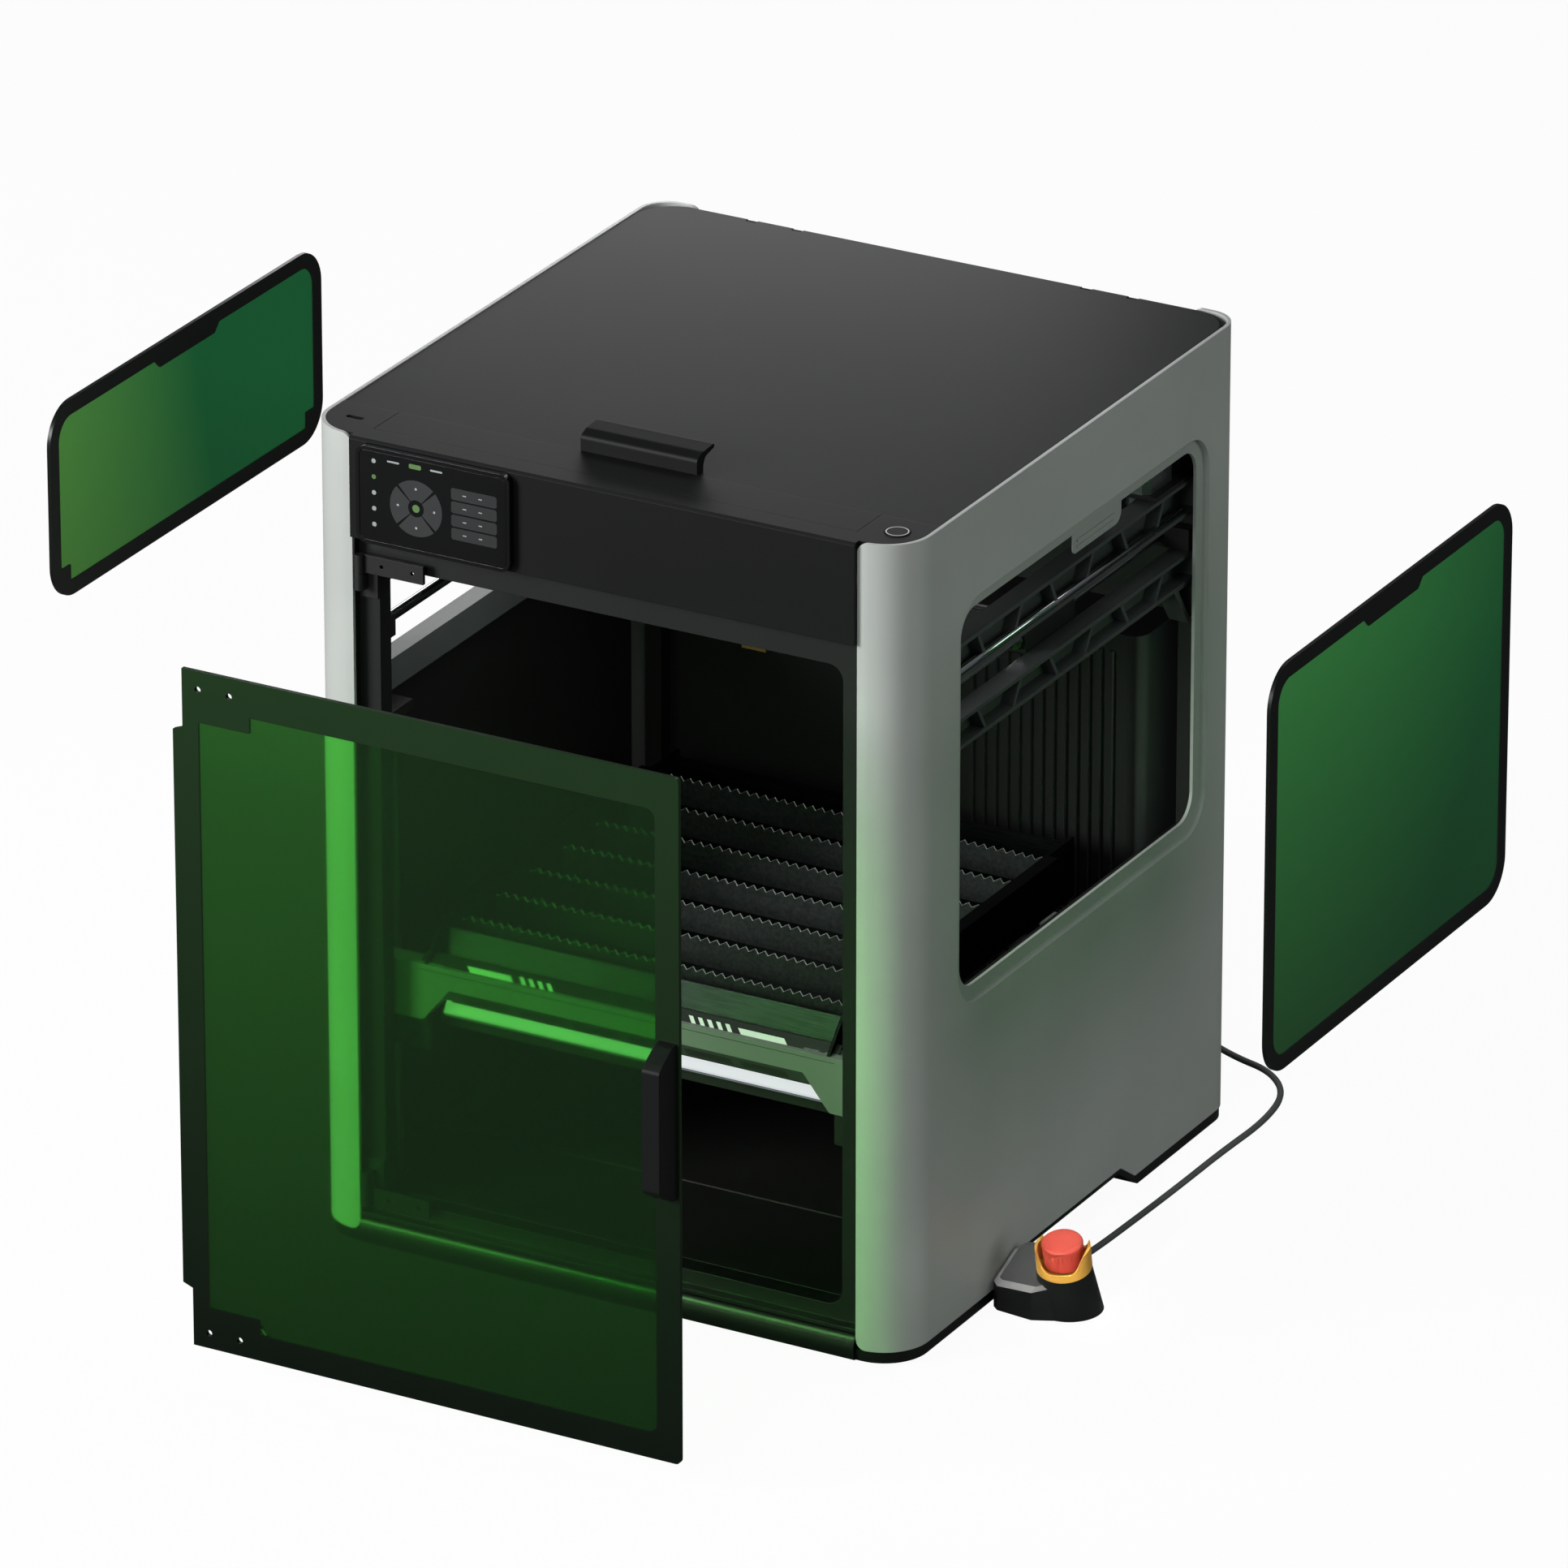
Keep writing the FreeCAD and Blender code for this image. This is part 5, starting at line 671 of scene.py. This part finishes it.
FINISHES = {
    "silver": silver_paint,
    "window_silver": frame_paint,
    "rear_sheet": rear_paint,
    "lid": lid_paint,
    "inner": chamber_paint,
    "screen": display_glass,
    # Black ABS with a dull skin: faces stay even and only edges catch light
    "fascia": lambda: moulding("dull_black_abs", "#080A09", "#0B0D0C", 0.55, shine=0.2),
    # Black ABS with a satin skin: a soft light runs along the edges
    "plinth": lambda: moulding("satin_black_abs", "#090A0A", "#0C0D0D", 0.38),
    "frame": lambda: moulding("frame_black_abs", "#0B0D0D", "#0F1111", 0.45),
    # Polished black ABS: sharp reflections
    "bezel": lambda: moulding("polished_black_abs", "#08090A", "#0B0C0D", 0.14),
    # Grey ABS: the ribs and the beam stand out from the black around them
    "ribs": lambda: moulding("grey_abs", "#414544", "#4A4E4D", 0.42),
    "beam": lambda: moulding("light_grey_abs", "#6A6D6B", "#727573", 0.4),
    # Dull black ABS of the bed's front plate and vents, with a faint green cast that is painted light, the
    # green of the light through the door
    "bed_trim": lambda: moulding("bed_trim_abs", "#191D1A", "#1F2320", 0.5, shine=0.3),
    "vent": lambda: moulding("vent_abs", "#2C302D", "#323633", 0.5, shine=0.3),
    # Moulded polyamide of the stop's stem, gland, socket and plug: dark grey and satin
    "stop_fittings": lambda: moulding("grey_polyamide", "#202222", "#262828", 0.4),
    # Glass-epoxy laminate: deep green under lacquer
    "board": lambda: moulding("lacquered_glass_epoxy", "#0B2A18", "#0F3420", 0.4),
    "stop_body": stop_box_painted_light,
    "stop_yellow": collar_moulding,
    "stop_red": cap_moulding,
    "bay": bay_painted_light,
    "bar": bar_diffuser,
    "blade": blade_steel,
    # Black-oxide steel sheet: dark, with long faint streaks across
    "tray": lambda: metal("black_oxide_steel", "#1A1C1C", "#232626", 0.42, (0.05, 1.0, 1.0)),
    # Ground steel: bright and sharp, streaked along the rod
    "rod": lambda: metal("ground_steel", "#B9BDC0", "#CFD2D4", 0.14, (1.0, 0.05, 1.0)),
    # Rolled steel: greyer, with fine rings across the screw
    "screw": lambda: metal("rolled_steel", "#6E7274", "#85898B", 0.3, (1.0, 1.0, 6.0)),
    # Turned brass: a dull gold
    "brass": lambda: metal("turned_brass", "#8F7440", "#A3884F", 0.3),
    # Milled aluminium: light grey with broad soft reflections
    "alu": lambda: metal("milled_aluminium", "#8C9092", "#9EA2A4", 0.35, (0.1, 1.0, 1.0)),
    # Moulded rubber: nearly black and without shine; the cord's jacket is greyer
    "feet": lambda: rubber("foot_rubber", "#121313", "#171818"),
    "belt": lambda: rubber("belt_rubber", "#0C0D0D", "#101111"),
    "cord": lambda: rubber("cord_rubber", "#4A4D4D", "#525555"),
    "right_window": right_filter,
    "left_window": left_filter,
    "door": door_filter,
    # Printed ink, and the lit keys of the display; the white ink glows faintly, painted light on the bed's
    # plate and the lamp of the power button's ring
    "print_white": lambda: marking("white_ink_and_painted_glow", "#C0C4C1", "#C8CCC9", 0.2),
    "print_grey": lambda: marking("grey_ink", "#515556", "#595D5E", 0.0),
    "icon": lambda: marking("lit_icons", "#868A8C", "#8E9294", 0.25),
    "icon_green": lambda: marking("lit_green_icons", "#466634", "#4E6E3C", 0.3),
    "tile": lambda: marking("lit_keys", "#202223", "#242627", 0.2),
    "tile_dark": lambda: marking("lit_dark_keys", "#191B1C", "#1D1F20", 0.2),
}

# Finish of each CAD piece
NODE_FINISH = {
    "base_plinth": "plinth", "rubber_feet": "feet", "left_side_panel": "silver",
    "right_side_panel": "silver", "window_frames": "window_silver", "door_frame": "frame",
    "front_fascia": "fascia", "top_front_cover": "fascia", "screen_bezel": "bezel",
    "screen_glass": "screen", "power_button": "fascia", "lid_panel": "lid", "lid_handle": "fascia",
    "lid_hinge_ears": "inner", "top_frame": "frame", "rear_panel": "rear_sheet",
    "exhaust_fan_frame": "frame", "fan_rotor": "frame", "mains_inlet": "frame", "rocker_switch": "bezel",
    "chamber_liners": "inner", "corner_columns": "inner", "side_beams": "ribs", "guide_rods": "rod",
    "rear_bay_cover": "bay", "power_supply": "alu", "main_board": "board", "stepper_motors": "alu",
    "right_motor_pulley": "alu", "left_motor_pulley": "alu", "drive_belts": "belt", "left_screw": "screw",
    "right_screw": "screw", "rear_screw": "screw", "door_panel": "door", "door_handle": "fascia",
    "door_hinge_leaves": "inner", "door_hinge_blocks": "inner", "right_window": "right_window",
    "left_window": "left_window", "bed_front_beam": "beam", "bed_light_bar": "bar",
    "bed_carrier": "inner", "bed_nuts": "brass", "heated_plate": "alu", "cutting_tray": "tray",
    "tray_blades": "blade", "gantry_beam": "inner", "carriage_bearings": "rod",
    "toolhead_housing": "inner", "toolhead_nozzle": "brass", "estop_housing": "stop_body",
    "estop_collar": "stop_yellow", "estop_stem": "stop_fittings", "estop_cap": "stop_red",
    "estop_strain_relief": "stop_fittings", "estop_socket": "stop_fittings",
    "estop_plug": "stop_fittings", "estop_cord": "cord",
}


def finish_of(key):
    """The named finish, made once and kept with the scene."""
    made = bpy.context.scene.get("finish_" + key)
    if made is None:
        made = FINISHES[key]()
        bpy.context.scene["finish_" + key] = made
    return made


def flat_mesh(name, shapes, finish, body):
    """One object of flat faces, each a list of points in metres."""
    points = []
    faces = []
    for shape in shapes:
        faces.append(range(len(points), len(points) + len(shape)))
        points.extend(shape)
    mesh = bpy.data.meshes.new(name)
    mesh.from_pydata(points, [], faces)
    mesh.materials.append(finish_of(finish))
    made = bpy.data.objects.new(name, mesh)
    bpy.context.collection.objects.link(made)
    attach(made, body)


class PRINTER_OT_camera(bpy.types.Operator):
    """Set the camera where the photograph was taken from"""

    bl_idname = "printer.camera"
    bl_label = "Camera"

    def execute(self, context):
        data = bpy.data.cameras.new("camera")
        data.lens = studio().lens
        data.sensor_width = 36.0
        data.clip_end = 100.0
        camera = bpy.data.objects.new("camera", data)
        camera.location = studio().camera_at
        camera.rotation_euler = Vector(studio().camera_to).to_track_quat("-Z", "Y").to_euler()
        context.collection.objects.link(camera)
        context.scene.camera = camera
        return {"FINISHED"}


class PRINTER_OT_cord(bpy.types.Operator):
    """Lay the stop box's cord along its route"""

    bl_idname = "printer.cord"
    bl_label = "Cord"

    def execute(self, context):
        data = bpy.data.curves.new("stop_cord", "CURVE")
        data.dimensions = "3D"
        data.bevel_depth = looks().cord_width / 2
        data.bevel_resolution = 4
        data.resolution_u = 16
        spline = data.splines.new("NURBS")
        spline.points.add(len(CORD_ROUTE) - 1)
        for point, at in zip(spline.points, CORD_ROUTE):
            point.co = (at[0] * MM, at[1] * MM, at[2] * MM, 1.0)
        spline.order_u = 3
        spline.use_endpoint_u = True
        data.materials.append(finish_of("cord"))
        cord = bpy.data.objects.new("stop_cord", data)
        context.collection.objects.link(cord)
        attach(cord, "cabinet")
        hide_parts("estop_cord")
        return {"FINISHED"}


class PRINTER_OT_finishes(bpy.types.Operator):
    """Give every CAD piece its finish"""

    bl_idname = "printer.finishes"
    bl_label = "Finishes"

    def execute(self, context):
        for name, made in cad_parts.items():
            made.data.materials.clear()
            made.data.materials.append(finish_of(NODE_FINISH[name]))
        return {"FINISHED"}


def display_key(at, size, cut, lift=ICON_LIFT):
    """Flat key with cut corners on the display, from the upper left corner of its glass, in millimetres."""
    low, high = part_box("screen_glass")
    left, top = at
    right = left + size[0]
    bottom = top + size[1]
    outline = [(left + cut, bottom), (right - cut, bottom), (right, bottom - cut), (right, top + cut),
               (right - cut, top), (left + cut, top), (left, top + cut), (left, bottom - cut)]
    return [(low[0] + x * MM, low[1] - lift * MM, high[2] - down * MM) for x, down in outline]


def dial_part(radii, start, end, steps, lift=ICON_LIFT):
    """Ring segment of the display's dial, from one angle to another in degrees."""
    low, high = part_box("screen_glass")
    angles = [math.radians(start + (end - start) * i / steps) for i in range(steps + 1)]
    around = [(radii[1], a) for a in angles] + [(radii[0], a) for a in reversed(angles)]
    return [(low[0] + (DIAL_AT[0] + r * math.cos(a)) * MM, low[1] - lift * MM,
             high[2] - (DIAL_AT[1] - r * math.sin(a)) * MM) for r, a in around]


class PRINTER_OT_display(bpy.types.Operator):
    """Draw a plain interface on the display: a four-part dial, a column of icons and a list"""

    bl_idname = "printer.display"
    bl_label = "Display"

    def execute(self, context):
        quarters = []
        for turn in (45, 135, 225, 315):
            start = turn + DIAL_GAP
            end = turn + 90 - DIAL_GAP
            quarters.append(dial_part(DIAL_RING, start, end, DIAL_STEPS, KEY_LIFT))
        flat_mesh("display_dial", quarters, "tile", "cabinet")
        rows = []
        for i in range(LIST_ROWS):
            at = (LIST_AT[0], LIST_AT[1] + LIST_PITCH * i)
            rows.append(display_key(at, LIST_SIZE, KEY_CUT, KEY_LIFT))
        flat_mesh("display_list", rows, "tile_dark", "cabinet")
        icons = []
        for i in range(ICON_ROWS):
            at = (ICON_AT[0], ICON_AT[1] + ICON_PITCH * i)
            icons.append(display_key(at, (ICON_SIDE, ICON_SIDE), ICON_CUT))
        chosen = icons.pop(GREEN_ROW)
        for i in range(LIST_ROWS):
            for left in DASH_LEFTS:
                icons.append(display_key((left, DASH_TOP + LIST_PITCH * i), DASH_SIZE, DASH_CUT))
            turn = math.radians(90 * i)
            across = DIAL_AT[0] + SPOT_RADIUS * math.cos(turn)
            down = DIAL_AT[1] - SPOT_RADIUS * math.sin(turn)
            at = (across - SPOT_SIDE / 2, down - SPOT_SIDE / 2)
            icons.append(display_key(at, (SPOT_SIDE, SPOT_SIDE), SPOT_CUT))
        for left in HEADER_LEFTS:
            icons.append(display_key((left, HEADER_TOP), HEADER_SIZE, SPOT_CUT))
        flat_mesh("display_icons", icons, "icon", "cabinet")
        hub = dial_part(DIAL_HUB, 0, 359, HUB_STEPS)
        badge = display_key(BADGE_AT, BADGE_SIZE, BADGE_CUT)
        greens = [chosen, hub, badge]
        flat_mesh("display_green", greens, "icon_green", "cabinet")
        return {"FINISHED"}


def on_plate(x, up, lift):
    """Point on the bed's sloped front plate, up from its lower edge and lifted off it, in millimetres."""
    low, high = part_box("bed_front_beam")
    return (x * MM, low[1] + (PLATE_FOOT[0] + PLATE_RUN * up + PLATE_OFF[0] * lift) * MM,
            high[2] + (PLATE_FOOT[1] + up + PLATE_OFF[1] * lift) * MM)


def plate_mark(x, width, top, lean=MARK_LEAN):
    """Slanted mark printed on the bed's front plate."""
    return [on_plate(x, MARK_FOOT, MARK_LIFT), on_plate(x + width, MARK_FOOT, MARK_LIFT),
            on_plate(x + width + lean, top, MARK_LIFT), on_plate(x + lean, top, MARK_LIFT)]


def on_vent(foot, head, rise, lift):
    """Upright face over the vent strip's lower edge, from its foot's ends to its head's, in millimetres."""
    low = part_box("bed_front_beam")[0]
    corners = [(foot[0], rise[0]), (foot[1], rise[0]), (head[1], rise[1]), (head[0], rise[1])]
    return [(x * MM, low[1] - lift * MM, low[2] + (VENT_FOOT + up) * MM) for x, up in corners]


class PRINTER_OT_ledge(bpy.types.Operator):
    """Lay the bed's sloped front plate with plain slanted bars and blocks, and the vent strip under it"""

    bl_idname = "printer.ledge"
    bl_label = "Ledge"

    def execute(self, context):
        corners = ((-PLATE_HALF, 0), (PLATE_HALF, 0), (PLATE_HALF, PLATE_UP), (-PLATE_HALF, PLATE_UP))
        flat_mesh("ledge_plate", [[on_plate(x, up, 0) for x, up in corners]], "bed_trim", "bed")
        marks = []
        for start, number in BAR_ROWS:
            marks += [plate_mark(start + BAR_PITCH * i, BAR_WIDTH, BAR_TOP) for i in range(number)]
        marks += [plate_mark(x, width, BLOCK_TOP) for x, width in BLOCKS]
        flat_mesh("ledge_marks", marks, "print_white", "bed")
        dim = [plate_mark(x, width, DIM_TOP, DIM_LEAN) for x, width in DIM_BLOCKS]
        flat_mesh("ledge_dim_marks", dim, "print_grey", "bed")
        foot, head = VENT_HALVES
        strip = on_vent((-foot, foot), (-head, head), (0, VENT_HEIGHT), VENT_LIFT)
        flat_mesh("vent_strip", [strip], "vent", "bed")
        # Painted shade: the slots are flat faces in matt black paint, standing for the shade in the vent's
        # openings.
        slots = []
        for i in range(VENT_SLOTS):
            x = SLOT_START + SLOT_PITCH * i
            top = x + SLOT_LEAN
            slots.append(on_vent((x, x + SLOT_WIDTH), (top, top + SLOT_WIDTH), SLOT_RISE, SLOT_LIFT))
        flat_mesh("vent_slots_painted_shade", slots, "inner", "bed")
        return {"FINISHED"}


def rod(name, radius, start, end, finish, body):
    """Round bar between two points in millimetres."""
    first = Vector(start) * MM
    last = Vector(end) * MM
    bpy.ops.mesh.primitive_cylinder_add(vertices=20, radius=radius * MM, depth=(last - first).length,
                                        location=(first + last) / 2,
                                        rotation=(last - first).to_track_quat("Z", "Y").to_euler())
    made = bpy.context.object
    made.name = name
    made.data.materials.append(finish_of(finish))
    for face in made.data.polygons:
        face.use_smooth = len(face.vertices) == 4
    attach(made, body)


class PRINTER_OT_side_rods(bpy.types.Operator):
    """Lay the polished rods along the side beams"""

    bl_idname = "printer.side_rods"
    bl_label = "Side rods"

    def execute(self, context):
        for side, label in ((-1, "left"), (1, "right")):
            start = (side * OUTER_ROD_X, OUTER_ROD_Y[0], OUTER_ROD_Z)
            end = (side * OUTER_ROD_X, OUTER_ROD_Y[1], OUTER_ROD_Z)
            rod(label + "_outer_rod", OUTER_ROD_RADIUS, start, end, "rod", "cabinet")
        return {"FINISHED"}


class PRINTER_OT_button_ring(bpy.types.Operator):
    """Print the pale ring round the top of the power button"""

    bl_idname = "printer.button_ring"
    bl_label = "Button ring"

    def execute(self, context):
        low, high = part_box("power_button")
        centre = [(low[i] + high[i]) / 2 for i in range(2)]
        inner, outer = RING_RADII
        ring = []
        for i in range(RING_PARTS):
            turn = [2 * math.pi * (i + k) / RING_PARTS for k in (0, 1)]
            corners = ((inner, turn[0]), (outer, turn[0]), (outer, turn[1]), (inner, turn[1]))
            ring.append([(centre[0] + r * math.cos(a) * MM, centre[1] + r * math.sin(a) * MM,
                          high[2] + RING_LIFT * MM) for r, a in corners])
        flat_mesh("button_ring", ring, "print_white", "button")
        return {"FINISHED"}


def soft_light(name, power, colour=(1.0, 1.0, 1.0), spread=180.0):
    """Soft box that looks at a point, itself out of sight, its beam as wide as the spread in degrees."""
    at, aim, size = LAMPS[name]
    data = bpy.data.lights.new(name, "AREA")
    data.energy = power
    data.shape = "RECTANGLE"
    data.size = size[0]
    data.size_y = size[1]
    data.color = colour
    data.spread = math.radians(spread)
    lamp = bpy.data.objects.new(name, data)
    lamp.location = at
    lamp.visible_camera = False
    lamp.rotation_euler = (Vector(aim) - Vector(at)).to_track_quat("-Z", "Y").to_euler()
    bpy.context.collection.objects.link(lamp)
    return lamp


class PRINTER_OT_stage(bpy.types.Operator):
    """Set up the floor, the soft lights and the white surroundings"""

    bl_idname = "printer.stage"
    bl_label = "Stage"

    def execute(self, context):
        corners = [(-FLOOR_HALF, -FLOOR_HALF, 0), (FLOOR_HALF, -FLOOR_HALF, 0), (FLOOR_HALF, FLOOR_HALF, 0),
                   (-FLOOR_HALF, FLOOR_HALF, 0)]
        mesh = bpy.data.meshes.new("floor")
        mesh.from_pydata(corners, [], [(0, 1, 2, 3)])
        mesh.materials.append(floor_finish())
        floor = bpy.data.objects.new("floor", mesh)
        context.collection.objects.link(floor)
        key = soft_light("key", studio().key)
        front = soft_light("front", studio().front)
        lid = soft_light("lid_light", studio().lid)
        rim = soft_light("rim", studio().rim)
        fill = soft_light("fill", studio().fill, colour=(0.97, 1.0, 0.96))
        above = soft_light("stop_light", studio().stop, spread=12.0)
        ahead = soft_light("stop_front_light", 3 * studio().stop, spread=7.0)
        back = soft_light("back", studio().back)
        inner = soft_light("inner", studio().inner)
        world = bpy.data.worlds.new("surroundings")
        world.use_nodes = True
        tree = world.node_tree
        tree.nodes.clear()
        seen = node(tree, "LightPath")["Is Camera Ray"]
        white = node(tree, "Background", {"Color": WHITE, "Strength": 1.0})["Background"]
        dim = node(tree, "Background", {"Color": (0.9, 0.95, 1.0, 1.0), "Strength": 0.14})["Background"]
        both = node(tree, "MixShader", {0: seen, 1: dim, 2: white})["Shader"]
        node(tree, "OutputWorld", {"Surface": both})
        context.scene.world = world
        context.scene.view_settings.view_transform = "Standard"
        return {"FINISHED"}


class PRINTER_PT_panel(bpy.types.Panel):
    """Printer tools in the sidebar"""

    bl_idname = "PRINTER_PT_panel"
    bl_label = "Printer"
    bl_space_type = "VIEW_3D"
    bl_region_type = "UI"
    bl_category = "Printer"

    def draw(self, context):
        column = self.layout.column()
        for group in (context.scene.printer_studio, context.scene.printer_looks):
            for name in group.bl_rna.properties.keys():
                if name not in ("rna_type", "name"):
                    column.prop(group, name)
        for operator in OPERATORS:
            column.operator(operator.bl_idname)


OPERATORS = (PRINTER_OT_camera, PRINTER_OT_cord, PRINTER_OT_finishes, PRINTER_OT_display, PRINTER_OT_ledge,
             PRINTER_OT_side_rods, PRINTER_OT_button_ring, PRINTER_OT_stage)
CLASSES = (PrinterStudio, PrinterLooks) + OPERATORS + (PRINTER_PT_panel,)


def register():
    """Register the classes and hang the settings on the scene."""
    for made in CLASSES:
        bpy.utils.register_class(made)
    bpy.types.Scene.printer_studio = PointerProperty(type=PrinterStudio)
    bpy.types.Scene.printer_looks = PointerProperty(type=PrinterLooks)


def unregister():
    """Take the settings and the classes away again."""
    del bpy.types.Scene.printer_looks
    del bpy.types.Scene.printer_studio
    for made in reversed(CLASSES):
        bpy.utils.unregister_class(made)


def main():
    """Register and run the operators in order."""
    register()
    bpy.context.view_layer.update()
    bpy.ops.printer.camera()
    bpy.ops.printer.cord()
    bpy.ops.printer.finishes()
    bpy.ops.printer.display()
    bpy.ops.printer.ledge()
    bpy.ops.printer.side_rods()
    bpy.ops.printer.button_ring()
    bpy.ops.printer.stage()


if __name__ == "__main__":
    main()
